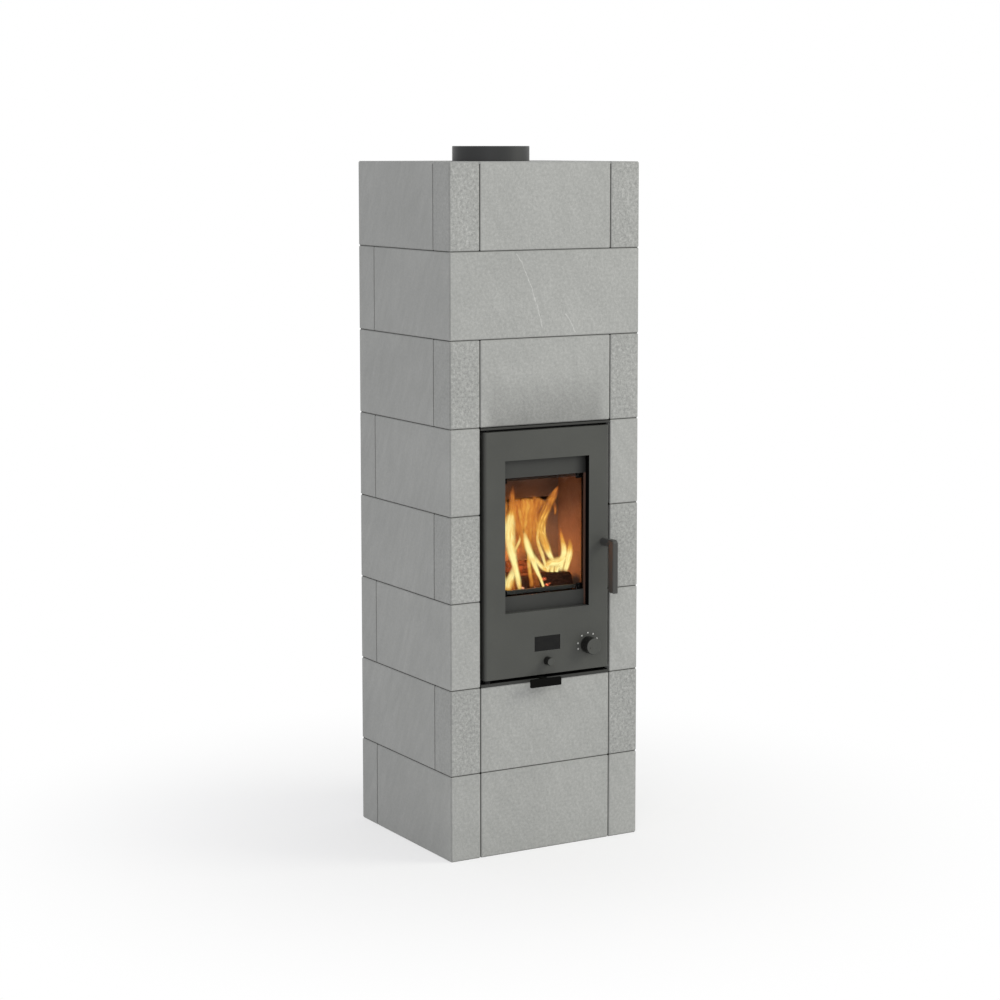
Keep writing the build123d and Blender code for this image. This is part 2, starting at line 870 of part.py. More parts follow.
# Inner door frame with its hinge blocks, the bush of the handle and the air port
bush_back = plate_back + bush_length
port_x = dial_x + port_circle * cos(radians(port_angle))
port_z = dial_z + port_circle * sin(radians(port_angle))
clip_screw_points = [
    (x, z)
    for x in both(clip_offset)
    for z in (clip_screw_z, 2 * glass_middle - clip_screw_z)
]
with BuildPart() as door_inner_frame:
    with BuildSketch(front_plane(plate_back)):
        patch(both(frame_half_width), (frame_bottom, frame_top))
        patch(both(pane_half_width), (pane_bottom, pane_top), mode=Mode.SUBTRACT)
    extrude(amount=inner_plate)
    for z_span in block_spans:
        block(
            around(hinge_x, hinge_block_width / 2),
            (panel_inner + frame_play, plate_back),
            z_span,
        )
        with BuildSketch(level_plane(z_span[0])):
            with Locations((hinge_x, hinge_y)):
                Circle(hinge_pin_radius + running_play)
        extrude(amount=hinge_block_height, mode=Mode.SUBTRACT)
    with BuildSketch(front_plane(bush_back)):
        with Locations((handle_x, handle_z)):
            Circle(bush_radius)
    extrude(amount=bush_length)
    with BuildSketch(front_plane(bush_back)):
        with Locations((handle_x, handle_z)):
            Circle(spindle_radius + running_play)
        with Locations((dial_x, dial_z)):
            Circle(dial_shaft_radius + running_play)
        with Locations((port_x, port_z)):
            Circle(port_radius)
        with Locations(*clip_screw_points):
            Circle(screw_radius + fixed_play)
    extrude(amount=bush_length + inner_plate, mode=Mode.SUBTRACT)
finish(door_inner_frame, "door_inner_frame")

# Glass on its tape, held by four clips
with BuildPart() as door_glass:
    with BuildSketch(front_plane(glass_back)):
        patch(both(glass_half_width), (glass_bottom, glass_top))
    extrude(amount=glass_thickness)
finish(door_glass, "door_glass")

with BuildPart() as glass_tape:
    with BuildSketch(front_plane(glass_front)):
        patch(both(glass_half_width), (glass_bottom, glass_top))
        patch(
            both(glass_half_width - tape_width),
            (glass_bottom + tape_width, glass_top - tape_width),
            mode=Mode.SUBTRACT,
        )
    extrude(amount=tape_thickness)
finish(glass_tape, "glass_tape")

clip_base = glass_top + clip_play
with BuildPart() as glass_clips:
    with BuildSketch(Plane.YZ.offset(clip_offset - clip_width / 2)):
        with BuildLine():
            Polyline(
                (plate_back, clip_base + clip_foot),
                (plate_back, clip_base),
                (glass_back, clip_base),
                (glass_back, pane_top - clip_reach),
                (glass_back + clip_sheet, pane_top - clip_reach),
                (glass_back + clip_sheet, clip_base + clip_sheet),
                (plate_back + clip_sheet, clip_base + clip_sheet),
                (plate_back + clip_sheet, clip_base + clip_foot),
                close=True,
            )
        make_face()
    extrude(amount=clip_width)
    with BuildSketch(front_plane(plate_back + clip_sheet)):
        with Locations((clip_offset, clip_screw_z)):
            Circle(screw_radius + fixed_play)
    extrude(amount=clip_sheet, mode=Mode.SUBTRACT)
    mirror(about=Plane.YZ)
    mirror(about=level_plane(glass_middle))
finish(glass_clips, "glass_clips")

with BuildPart() as clip_screws:
    with BuildSketch(front_plane(plate_back + clip_sheet)):
        with Locations(*clip_screw_points):
            Circle(screw_radius)
    extrude(amount=clip_sheet + inner_plate)
    with BuildSketch(front_plane(plate_back + clip_sheet + screw_head_height)):
        with Locations(*clip_screw_points):
            Circle(screw_head_radius)
    extrude(amount=screw_head_height)
finish(clip_screws, "clip_screws")

# Rope seals around the fire opening and the ash opening
with BuildPart() as door_gasket:
    for z_span in (
        (fire_opening_bottom, fire_opening_top),
        (ash_opening_bottom, ash_opening_top),
    ):
        with BuildSketch(front_plane(rope_back)):
            patch(
                both(rope_half_width),
                (z_span[0] - rope_margin - rope_size, z_span[1] + rope_margin + rope_size),
            )
            patch(
                both(rope_half_width - rope_size),
                (z_span[0] - rope_margin, z_span[1] + rope_margin),
                mode=Mode.SUBTRACT,
            )
        extrude(amount=rope_size)
    fillet(door_gasket.edges().group_by(Axis.Y)[-1], rope_round)
finish(door_gasket, "door_gasket")

# Display glass and the circuit board behind it
display_glass_front = panel_front + display_sunk
display_glass_back = display_glass_front + display_glass_thickness
with BuildPart() as display_glass:
    with BuildSketch(front_plane(display_glass_back)):
        with Locations((0, display_z)):
            Rectangle(display_width, display_height)
    extrude(amount=display_glass_thickness)
finish(display_glass, "display_glass")

board_back = plate_front - board_stand_off
board_front = board_back - board_thickness
board_z = panel_bottom + board_rise + board_height / 2
button_flange_back = panel_inner + seat_gap + button_flange
switch_front = button_flange_back + button_travel + seat_gap
with BuildPart() as circuit_board:
    with BuildSketch(front_plane(board_back)):
        with Locations((0, board_z)):
            Rectangle(board_width, board_height)
    extrude(amount=board_thickness)
    with BuildSketch(front_plane(plate_front)):
        with Locations((0, board_z)):
            with GridLocations(
                board_width - 2 * board_post_inset, board_height - 2 * board_post_inset, 2, 2
            ):
                Circle(board_post_radius)
    extrude(amount=board_stand_off)
    with BuildSketch(front_plane(board_front)):
        with Locations((0, display_z)):
            Rectangle(display_width - 2 * display_rim, display_height - 2 * display_rim)
    extrude(amount=board_front - display_glass_back)
    with BuildSketch(front_plane(board_front)):
        with Locations((0, button_z)):
            Circle(switch_radius)
    extrude(amount=board_front - switch_front)
finish(circuit_board, "circuit_board")

# Push button with its retaining flange, and the rubber cone behind it that springs it back
with BuildPart() as display_button:
    with BuildSketch(front_plane(button_flange_back)):
        with Locations((0, button_z)):
            Circle(button_flange_radius)
    extrude(amount=button_flange)
    with BuildSketch(front_plane(button_flange_back)):
        with Locations((0, button_z)):
            Circle(button_radius)
    extrude(amount=button_flange_back - panel_front + button_proud)
    fillet(display_button.edges().group_by(Axis.Y)[0], button_round)
finish(display_button, "display_button")

spring_back = board_front - slide_gap
spring_front = button_flange_back + slide_gap
with BuildPart() as button_spring:
    with BuildSketch(level_plane(button_z)):
        with BuildLine():
            Polyline(
                (spring_base_radius, spring_back),
                (spring_tip_radius, spring_front),
                (spring_tip_radius - spring_wall, spring_front),
                (spring_base_radius - spring_wall, spring_back),
                close=True,
            )
        make_face()
    revolve(axis=Axis((0, 0, button_z), (0, 1, 0)))
finish(button_spring, "button_spring")

# Air dial: the knob, and the shaft with the disc whose spiral slot uncovers the port
knob_back = panel_front - seat_gap
knob_front = knob_back - knob_length
with BuildPart() as dial_knob:
    with BuildSketch(front_plane(knob_back)):
        with Locations((dial_x, dial_z)):
            Circle(knob_radius)
    extrude(amount=knob_length)
    fillet(dial_knob.edges().group_by(Axis.Y)[0], knob_round)
    with BuildSketch(front_plane(knob_front)):
        with Locations((dial_x, dial_z)):
            with PolarLocations(pointer_circle, 1, start_angle=pointer_angle):
                Circle(pointer_radius)
    extrude(amount=-pointer_depth, mode=Mode.SUBTRACT)
    with BuildSketch(front_plane(knob_back)):
        with Locations((dial_x, dial_z)):
            Circle(dial_shaft_radius + fixed_play)
    extrude(amount=knob_socket_depth, mode=Mode.SUBTRACT)
finish(dial_knob, "dial_knob")


def spiral_point(share, side):
    """Point on one edge of the spiral slot, share 0 at its narrow end and 1 at its wide end."""
    angle = radians(port_angle + spiral_start_angle + spiral_sweep_angle * share)
    radius = port_circle + side * port_radius * share
    return (dial_x + radius * cos(angle), dial_z + radius * sin(angle))


disc_back = plate_front - slide_gap
shaft_back = plate_back + dial_shaft_tail
shaft_front = knob_back - knob_socket_depth + seat_gap
with BuildPart() as air_disc:
    with BuildSketch(front_plane(disc_back)):
        with Locations((dial_x, dial_z)):
            Circle(disc_radius)
    extrude(amount=disc_thickness)
    shares = [step / (spiral_points - 1) for step in range(spiral_points)]
    with BuildSketch(front_plane(disc_back)):
        with BuildLine():
            outer_edge = Spline(*[spiral_point(share, 1) for share in shares])
            inner_edge = Spline(*[spiral_point(share, -1) for share in shares])
            Line(outer_edge @ 1, inner_edge @ 1)
        make_face()
    extrude(amount=disc_thickness, mode=Mode.SUBTRACT)
    with BuildSketch(front_plane(shaft_back)):
        with Locations((dial_x, dial_z)):
            Circle(dial_shaft_radius)
    extrude(amount=shaft_back - shaft_front)
finish(air_disc, "air_disc")

# Handle: upright grip, round stand-off and spindle, with the latch tongue at its end
grip_front = panel_front - grip_protrusion
grip_top = handle_z + standoff_radius + grip_head
tongue_front = bush_back + seat_gap
tongue_back = tongue_front + tongue_thickness
with BuildPart() as door_handle:
    with BuildSketch(Plane.YZ.offset(handle_x - grip_width / 2)) as grip_outline:
        patch((grip_front, grip_front + grip_depth), (grip_top - grip_length, grip_top))
        front_top = grip_outline.vertices().group_by(Axis.X)[0].sort_by(Axis.Y)[-1]
        fillet(front_top, grip_corner)
    extrude(amount=grip_width)
    fillet(door_handle.faces().filter_by(Axis.X).edges(), grip_round)
    with BuildSketch(front_plane(panel_front - seat_gap)):
        with Locations((handle_x, handle_z)):
            Circle(standoff_radius)
    extrude(amount=grip_protrusion - grip_depth - seat_gap + grip_round)
    with BuildSketch(front_plane(tongue_back)):
        with Locations((handle_x, handle_z)):
            Circle(spindle_radius)
    extrude(amount=tongue_back - panel_front + seat_gap)
finish(door_handle, "door_handle")

with BuildPart() as latch_tongue:
    with BuildSketch(front_plane(tongue_back)):
        with Locations((handle_x, handle_z)):
            Circle(bush_radius)
        tip_x = catch_crown - catch_gap - tongue_width / 2
        with Locations((tip_x, handle_z)):
            Circle(tongue_width / 2)
        patch((handle_x, tip_x), around(handle_z, tongue_width / 2))
        with Locations((handle_x, handle_z)):
            Circle(spindle_radius + fixed_play, mode=Mode.SUBTRACT)
    extrude(amount=tongue_thickness)
finish(latch_tongue, "latch_tongue")
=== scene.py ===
import math
import random

import bmesh
import bpy
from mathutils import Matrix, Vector


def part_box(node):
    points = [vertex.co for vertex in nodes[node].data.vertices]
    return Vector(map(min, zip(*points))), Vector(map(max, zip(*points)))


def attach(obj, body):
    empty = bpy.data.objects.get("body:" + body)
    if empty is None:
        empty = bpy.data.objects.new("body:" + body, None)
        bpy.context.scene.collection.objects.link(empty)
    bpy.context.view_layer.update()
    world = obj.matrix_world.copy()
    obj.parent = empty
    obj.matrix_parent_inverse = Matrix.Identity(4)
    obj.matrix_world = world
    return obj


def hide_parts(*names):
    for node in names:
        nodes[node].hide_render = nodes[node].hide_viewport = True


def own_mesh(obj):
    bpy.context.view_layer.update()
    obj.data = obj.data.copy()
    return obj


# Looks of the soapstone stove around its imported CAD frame.
# Everything is in metres in the frame's own axes: +Z up, the door looks to -Y.

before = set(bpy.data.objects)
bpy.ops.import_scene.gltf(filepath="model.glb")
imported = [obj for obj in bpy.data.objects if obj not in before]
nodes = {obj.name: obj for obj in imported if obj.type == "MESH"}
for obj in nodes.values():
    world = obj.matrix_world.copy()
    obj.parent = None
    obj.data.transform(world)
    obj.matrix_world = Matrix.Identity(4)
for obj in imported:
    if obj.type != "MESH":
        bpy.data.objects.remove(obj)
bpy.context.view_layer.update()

# Camera of the photograph
CAMERA_PLACE = (-2.5753, -4.4717, 1.4560)
CAMERA_PITCH = 6.439
CAMERA_YAW = 30.455
CAMERA_LENS = 88.22
CAMERA_SENSOR = 36.0
CAMERA_SHIFT = (-0.01942, -0.07772)

# Studio
AMBIENT_LEVEL = 0.58
AMBIENT_COLOUR = (0.99, 0.99, 1.02)
LIGHT_TARGET = (0.0, 0.0, 0.7)
WHITE = (1.0, 1.0, 1.0)
FLOOR_RADIUS = 14.0
FLOOR_COLOUR = (0.98, 0.98, 0.98)
FLOOR_WHITE_NEAR = 0.58
FLOOR_NEAR = 0.25
FLOOR_FAR = 1.25

# Lamps: name, kind, place, power, size and colour
LAMPS = (
    ("key", "AREA", (3.4, -2.4, 2.9), 82.0, 2.4, (1.0, 1.0, 0.90)),
    ("fill", "AREA", (-2.2, -3.4, 2.6), 24.0, 2.0, WHITE),
    ("fire", "POINT", (-0.015, -0.125, 0.60), 0.75, 0.04, (1.0, 0.34, 0.11)),
)

# Stone column, read from the frame. A core is the depth from which that kind of joint is painted
# dark as shade.
column_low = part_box("course_1_side_stones")[0]
column_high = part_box("course_8_side_stones")[1]
COURSE_COUNT = 8
course_height = (column_high.z - column_low.z) / COURSE_COUNT
half_width = column_high.x
half_depth = -column_low.y
LEVEL_CORE = 0.00195
FRONT_CORE = 0.0017
SIDE_CORE = 0.0013
CORNER_ARRIS = 0.003
# Share of the joints' painted shade that falls on the column's corner arrises
CORNER_SHARE = 0.22
ARRIS_EDGE = 0.0008
TOP_ARRIS = 0.004

# Stone colours and patterns
STONE = (0.402, 0.407, 0.392)
STONE_LIGHT = (0.56, 0.565, 0.545)
STONE_DARK = (0.27, 0.275, 0.265)
# Near black, mixed in as painted shade in the stone joints and as the darkening above the door
STONE_NEAR_BLACK = (0.05, 0.05, 0.046)
GRAIN_SHARE = 0.62
VEIN = (0.60, 0.605, 0.585)
VEIN_HALF = 0.0016
VEIN_WANDER = 0.0022
VEINS = (
    ((-0.0696, 1.2388), (-0.0567, 1.2184), (-0.0343, 1.1692), (-0.020, 1.124), (-0.0081, 1.0869)),
    ((0.0468, 1.1136), (0.0589, 1.0968), (0.0686, 1.0759)),
)
# Darkening of the stone above the door: how far up it reaches, and its strength
DARKENING_REACH = 0.12
DARKENING_SHARE = 0.36

# Settings of the shader by short names
SETTINGS = {"gloss": "Specular IOR Level", "metallic": "Metallic", "alpha": "Alpha"}

# Node socket numbers of the Mix node in its colour form
MIX_FIRST = 6
MIX_SECOND = 7
MIX_RESULT = 2

# The span in which nearly all values of a noise lie
NOISE_LOW = 0.3
NOISE_HIGH = 0.7

# A face is turned along an axis as its normal's number there runs over this span, and it is an
# arris where none of the three numbers reaches SQUARE
TURNED = (0.5, 0.9)
SQUARE = 0.9

# How far from a face a point still counts as on it
FACE_MARGIN = 0.001

# Orange peel of the powder coat
PEEL_SCALE = 900.0
PEEL_RELIEF = 0.00012

# Door paint: painted shade along the hinge edge, and how far inside the glass's edge the shaded
# lips lie
HINGE_SHADE = 0.45
HINGE_SHADE_WIDTH = 0.006
LIP_MARGIN = 0.002

# Surround paint: painted shade above its lower end, and the depth at which its flanges turn to
# painted shade
SURROUND_SHADE = 0.22
SURROUND_SHADE_SPAN = (0.01, 0.03)
FLANGE_EDGE = (0.001, 0.003)

# Pane frame: share of paint left by the painted shade at its lower end. From the glass's edges
# inward: end of its top band, painted shade at the right of that band, and inner edge of the side
# strips painted firelit
LOWER_SHARE = 0.80
BAND_END = (0.012, 0.008)
RIGHT_SHADE = 0.75
RIGHT_SHADE_SPAN = (0.037, 0.005)
LIT_STRIP = (0.011, 0.010)

# Soot on the linings: how much, clean below, dark above, and the back one's slots and bridges
LINING_SOOT = 0.9
LINING_CLEAN = 0.16
LINING_SOOTED = 0.05
SLOT_HEIGHT = 0.714
SLOT_END = 0.101
SLOT_BRIDGE = 0.035
SLOT_HALF = (0.0018, 0.0032)
SLOT_FADE = 0.002
BRIDGE_HALF = (0.003, 0.005)
BACK_REACH = 0.03

# Waves of the rope's braid and of the board's tracks, in radians for each metre
ROPE_STRANDS = 1500.0
BOARD_TRACKS = 2400.0

# Glowing spots on the front log: place across, height and reach
GLOW_SPOTS = ((0.0285, 0.5570, 0.0075), (0.0330, 0.5450, 0.0065), (0.0400, 0.5475, 0.0035))
LOG_FRONT = -0.14

# Colours of a flame as its heat rises over each span
FLAME_COLDEST = (0.30, 0.065, 0.020)
FLAME_COLOURS = (
    (0.0, 0.25, (0.62, 0.17, 0.034)),
    (0.25, 0.5, (0.78, 0.30, 0.05)),
    (0.5, 0.7, (0.88, 0.48, 0.09)),
    (0.7, 0.95, (1.0, 0.88, 0.36)),
)

# Heights between which the coals turn from dark to glowing
EMBER_DARK = 0.538
EMBER_BRIGHT = 0.546

# Fire glass, measured from its rim: printed border, half the width of its soft edge, and haze
PRINT_TOP = 0.0170
PRINT_SIDE = 0.0115
PRINT_EDGE = 0.001
HAZE_SPAN = (0.01, 0.05)


class Graph:
    """The node tree of one material, with short ways to add nodes."""

    def __init__(self, name):
        self.material = bpy.data.materials.new(name)
        self.material.use_nodes = True
        self.tree = self.material.node_tree
        self.shader = self.tree.nodes["Principled BSDF"]
        self.end = self.tree.nodes["Material Output"]

    def join(self, value, socket):
        """Link a socket, or set a plain value."""
        if isinstance(value, bpy.types.NodeSocket):
            self.tree.links.new(value, socket)
        else:
            socket.default_value = value

    def add(self, kind, inputs=None, **settings):
        """A new node with its settings and inputs."""
        node = self.tree.nodes.new(kind)
        for key, value in settings.items():
            setattr(node, key, value)
        for key, value in (inputs or {}).items():
            self.join(value, node.inputs[key])
        return node

    def place(self):
        """Object coordinates, which are the frame's metres at rest."""
        return self.add("ShaderNodeTexCoord").outputs["Object"]

    def normal(self):
        """The surface direction in the frame's axes."""
        return self.add("ShaderNodeTexCoord").outputs["Normal"]

    def facing(self, axis):
        """How squarely a face looks along one axis, to either side."""
        return self.size(self.parts(self.normal())[axis])

    def parts(self, vector):
        """The three numbers of a vector."""
        return self.add("ShaderNodeSeparateXYZ", {0: vector}).outputs

    def vector(self, x, y, z):
        """A vector from three numbers."""
        return self.add("ShaderNodeCombineXYZ", {0: x, 1: y, 2: z}).outputs[0]

    def step(self, operation, first, second=0.0):
        """One step of arithmetic."""
        inputs = {0: first, 1: second}
        return self.add("ShaderNodeMath", inputs, operation=operation).outputs[0]

    def product(self, first, *others):
        """Values multiplied."""
        for value in others:
            first = self.step("MULTIPLY", first, value)
        return first

    def total(self, first, *others):
        """Values added up."""
        for value in others:
            first = self.step("ADD", first, value)
        return first

    def size(self, value):
        """A value without its sign."""
        return self.step("ABSOLUTE", value)

    def rest(self, value):
        """What a share leaves of 1."""
        return self.step("SUBTRACT", 1.0, value)

    def arrow(self, operation, first, second=(0.0, 0.0, 0.0)):
        """One step of vector arithmetic."""
        inputs = {0: first, 1: second}
        return self.add("ShaderNodeVectorMath", inputs, operation=operation).outputs

    def noise(self, place, scale, detail=2.0, roughness=0.5):
        """Cloudy noise around one half."""
        inputs = {"Vector": place, "Scale": scale, "Detail": detail, "Roughness": roughness}
        return self.add("ShaderNodeTexNoise", inputs).outputs[0]

    def span(self, value, low, high, start=0.0, end=1.0, smooth=False):
        """A value carried from one span to another, held at both ends."""
        kind = "SMOOTHSTEP" if smooth else "LINEAR"
        inputs = {0: value, 1: low, 2: high, 3: start, 4: end}
        return self.add("ShaderNodeMapRange", inputs, interpolation_type=kind).outputs[0]

    def spread(self, noise, start=0.0, end=1.0):
        """A noise carried from its usual span to another."""
        return self.span(noise, NOISE_LOW, NOISE_HIGH, start, end)

    def mix(self, share, first, second):
        """Two colours in one."""
        node = self.add("ShaderNodeMix", data_type="RGBA")
        self.join(share, node.inputs[0])
        self.join(opaque(first), node.inputs[MIX_FIRST])
        self.join(opaque(second), node.inputs[MIX_SECOND])
        return node.outputs[MIX_RESULT]

    def bump(self, height, distance, strength=1.0):
        """Fine relief on the shader's surface."""
        inputs = {"Height": height, "Distance": distance, "Strength": strength}
        node = self.add("ShaderNodeBump", inputs)
        self.join(node.outputs[0], self.shader.inputs["Normal"])

    def surface(self, colour, roughness, **others):
        """Colour, roughness and other settings of the shader."""
        self.join(roughness, self.shader.inputs["Roughness"])
        return self.repaint(colour, **others)

    def emit(self, colour, strength):
        """Light that the surface gives off."""
        self.join(opaque(colour), self.shader.inputs["Emission Color"])
        self.join(strength, self.shader.inputs["Emission Strength"])

    def base(self):
        """The colour that a finished surface has so far."""
        return self.shader.inputs["Base Color"].links[0].from_socket

    def repaint(self, colour, **others):
        """The colour and other settings, also of a surface that is finished."""
        self.join(opaque(colour), self.shader.inputs["Base Color"])
        for key, value in others.items():
            self.join(value, self.shader.inputs[SETTINGS[key]])
        return self.material


def opaque(colour):
    """A plain colour with its fourth number, or the socket as it is."""
    if isinstance(colour, tuple) and len(colour) == 3:
        return (*colour, 1.0)
    return colour


def scaled(colour, share):
    """A plain colour made darker or lighter."""
    return tuple(share * value for value in colour)


def flat_faces(graph):
    """The largest of the normal's three numbers: 1 on square faces, less on arrises."""
    outputs = graph.parts(graph.normal())
    x, y, z = [graph.size(out) for out in outputs]
    return graph.step("MAXIMUM", graph.step("MAXIMUM", x, y), z)


def groove_shade_mask(graph, place):
    """Painted shade: 1 deep in the V joints between stones, 0 on their faces, a little on the
    column's corners.
    """
    x, y, z = graph.parts(place)
    from_side = graph.step("SUBTRACT", half_width, graph.size(x))
    from_front = graph.step("SUBTRACT", half_depth, graph.size(y))
    depth = graph.step("MINIMUM", from_side, from_front)
    level = graph.step("GREATER_THAN", graph.facing(2), TURNED[0])
    on_front = graph.step("LESS_THAN", from_front, from_side)
    upright_core = graph.span(on_front, 0.0, 1.0, SIDE_CORE, FRONT_CORE)
    core = graph.span(level, 0.0, 1.0, upright_core, LEVEL_CORE)
    deep = graph.span(graph.step("SUBTRACT", depth, core), -ARRIS_EDGE / 2, ARRIS_EDGE / 2)
    slanted = graph.step("LESS_THAN", flat_faces(graph), SQUARE)
    below_top = graph.step("LESS_THAN", z, column_high.z - TOP_ARRIS)
    joint = graph.product(deep, slanted, below_top)
    corner = graph.step("LESS_THAN", graph.step("MAXIMUM", from_side, from_front), CORNER_ARRIS)
    corner = graph.product(corner, graph.rest(level))
    # Painted shade on the column's corner arrises
    faded = graph.product(slanted, CORNER_SHARE)
    return graph.span(corner, 0.0, 1.0, joint, faded)


def stone_place(graph, place):
    """Coordinates that jump at each course, so that no pattern runs over a joint."""
    z = graph.parts(place)[2]
    course = graph.step("FLOOR", graph.step("DIVIDE", z, course_height))
    jump = graph.vector(
        graph.product(course, 1.7),
        graph.product(course, 2.3),
        graph.product(course, 0.9),
    )
    return graph.arrow("ADD", place, jump)[0]


def stone_colour(graph, spot, speckle, tone):
    """Soapstone: cloudy grey with soft slanting strokes; its flecks show most on the front."""
    cloud = graph.noise(spot, 6.0, 4.0, 0.6)
    x, y, z = graph.parts(spot)
    slant = graph.total(x, y, graph.product(z, 0.45))
    lanes = graph.vector(slant, slant, graph.product(z, 0.35))
    stroke = graph.noise(lanes, 42.0, 3.0, 0.6)
    grain = graph.noise(spot, 380.0, 2.0, 0.6)
    flecks = graph.noise(spot, 160.0, 2.0, 0.7)
    front = graph.facing(1)
    reach = graph.span(front, 0.8, 1.0, 0.4 * speckle, speckle)
    coarse = graph.product(graph.span(flecks, 0.25, 0.75, -1.0, 1.0), reach)
    fine = graph.product(graph.span(grain, 0.2, 0.8, -GRAIN_SHARE, GRAIN_SHARE), reach)
    shade = graph.total(graph.spread(cloud, -0.07, 0.07), tone, graph.spread(stroke, -0.06, 0.06))
    shade = graph.total(shade, graph.total(coarse, fine))
    dark = graph.mix(graph.span(shade, 0.0, 0.5), STONE_DARK, STONE)
    colour = graph.mix(graph.span(shade, 0.5, 1.0), dark, STONE_LIGHT)
    relief = graph.total(grain, graph.product(flecks, 1.5))
    return colour, relief


def vein_mask(graph, place, spot):
    """Thin pale veins along given lines on the front of one stone."""
    wander = graph.noise(spot, 60.0, 3.0)
    drift = graph.spread(wander, -VEIN_WANDER, VEIN_WANDER)
    x, y, z = graph.parts(place)
    point = graph.vector(graph.total(x, drift), 0.0, z)
    nearest = 1.0
    for line in VEINS:
        for start, stop in zip(line, line[1:]):
            first = Vector((start[0], 0.0, start[1]))
            run = Vector((stop[0], 0.0, stop[1])) - first
            reach = graph.arrow("SUBTRACT", point, tuple(first))[0]
            along = graph.arrow("DOT_PRODUCT", reach, tuple(run / run.length_squared))[1]
            held = graph.span(along, 0.0, 1.0)
            foot = graph.arrow("MULTIPLY", graph.vector(held, held, held), tuple(run))[0]
            distance = graph.arrow("DISTANCE", reach, foot)[1]
            nearest = graph.step("MINIMUM", nearest, distance)
    thin = graph.span(nearest, 0.0, VEIN_HALF, 1.0, 0.0, smooth=True)
    broken = graph.span(graph.noise(spot, 90.0, 3.0), 0.36, 0.56, 0.35, 1.0)
    on_front = graph.step("LESS_THAN", y, FACE_MARGIN - half_depth)
    return graph.product(thin, broken, on_front)


def above_door_darkening(graph, place, spot):
    """Faint darkening of the stone above the door, fading upward and to the sides."""
    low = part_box("front_frame")[1].z
    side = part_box("door_panel")[1].x
    x, _, z = graph.parts(place)
    up = graph.span(z, low, low + DARKENING_REACH, 1.0, 0.0, smooth=True)
    out = graph.span(graph.size(x), side * 0.75, side * 1.05, 1.0, 0.0, smooth=True)
    cloudy = graph.spread(graph.noise(spot, 14.0, 3.0), 0.75, 1.0)
    return graph.product(up, out, cloudy, DARKENING_SHARE)


def make_stone(name, speckle, tone=0.5, veined=False, darkened=False):
    """Honed soapstone for one kind of stone."""
    graph = Graph(name)
    place = graph.place()
    spot = stone_place(graph, place)
    colour, relief = stone_colour(graph, spot, speckle, tone)
    if veined:
        colour = graph.mix(vein_mask(graph, place, spot), colour, VEIN)
    if darkened:
        # Darker above the door, fading upward and to the sides
        colour = graph.mix(above_door_darkening(graph, place, spot), colour, STONE_NEAR_BLACK)
    # Painted shade deep in the V-grooves between stones and on the column's corner arrises
    colour = graph.mix(groove_shade_mask(graph, place), colour, STONE_NEAR_BLACK)
    graph.bump(relief, 0.0004, 0.5)
    return graph.surface(colour, 0.82, gloss=0.3)


def make_storage_stone():
    """Rough dark storage blocks inside the column."""
    graph = Graph("storage_stone")
    place = graph.place()
    grain = graph.noise(place, 160.0, 4.0, 0.7)
    cloud = graph.noise(place, 12.0, 3.0)
    colour = graph.mix(graph.spread(grain), (0.07, 0.06, 0.05), (0.16, 0.14, 0.12))
    colour = graph.mix(graph.spread(cloud, 0.0, 0.4), colour, (0.11, 0.10, 0.09))
    graph.bump(grain, 0.001)
    return graph.surface(colour, 0.9, gloss=0.2)


def make_lining():
    """Vermiculite board: brown, flecked with mica, with soot towards the top and the air slots."""
    graph = Graph("vermiculite")
    place = graph.place()
    low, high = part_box("lining_back")
    flakes = graph.noise(place, 260.0, 3.0, 0.7)
    cloud = graph.noise(place, 14.0, 4.0, 0.6)
    colour = graph.mix(graph.spread(flakes), (0.27, 0.19, 0.14), (0.37, 0.27, 0.20))
    x, y, z = graph.parts(place)
    rise = graph.span(z, low.z + LINING_CLEAN, high.z - LINING_SOOTED, 0.0, 0.55)
    back = graph.span(y, low.y - BACK_REACH, low.y, 0.0, 0.25)
    stain = graph.total(rise, back, graph.spread(cloud, -0.2, 0.2))
    stain = graph.product(graph.span(stain, 0.0, 1.0), LINING_SOOT)
    colour = graph.mix(stain, colour, (0.046, 0.040, 0.036))
    colour = graph.mix(slot_soot(graph, x, y, z, low.y), colour, (0.006, 0.005, 0.004))
    graph.bump(flakes, 0.0006, 0.7)
    return graph.surface(colour, 0.92, gloss=0.15)


def slot_soot(graph, x, y, z, face):
    """Soot that joins the air slots of the back lining to dark lines."""
    off = graph.size(graph.step("SUBTRACT", z, SLOT_HEIGHT))
    line = graph.span(off, *SLOT_HALF, 1.0, 0.0)
    ends = graph.span(graph.size(x), SLOT_END, SLOT_END + SLOT_FADE, 1.0, 0.0)
    gap = graph.size(graph.step("SUBTRACT", graph.size(x), SLOT_BRIDGE))
    clear = graph.span(gap, *BRIDGE_HALF)
    on_face = graph.step("GREATER_THAN", y, face - FACE_MARGIN)
    return graph.product(line, ends, clear, on_face)


def painted(name, colour, roughness=0.55, gloss=0.3):
    """Powder-coated sheet steel with fine orange peel and a faint cloud in tone."""
    graph = Graph(name)
    place = graph.place()
    peel = graph.noise(place, PEEL_SCALE, 2.0)
    cloud = graph.noise(place, 11.0, 3.0)
    darker = scaled(colour, 0.88)
    lighter = scaled(colour, 1.10)
    tone = graph.total(graph.spread(cloud, 0.0, 0.7), graph.spread(peel, 0.0, 0.3))
    rough = graph.spread(cloud, roughness - 0.04, roughness + 0.04)
    graph.bump(peel, PEEL_RELIEF, 0.6)
    graph.surface(graph.mix(tone, darker, lighter), rough, gloss=gloss)
    return graph


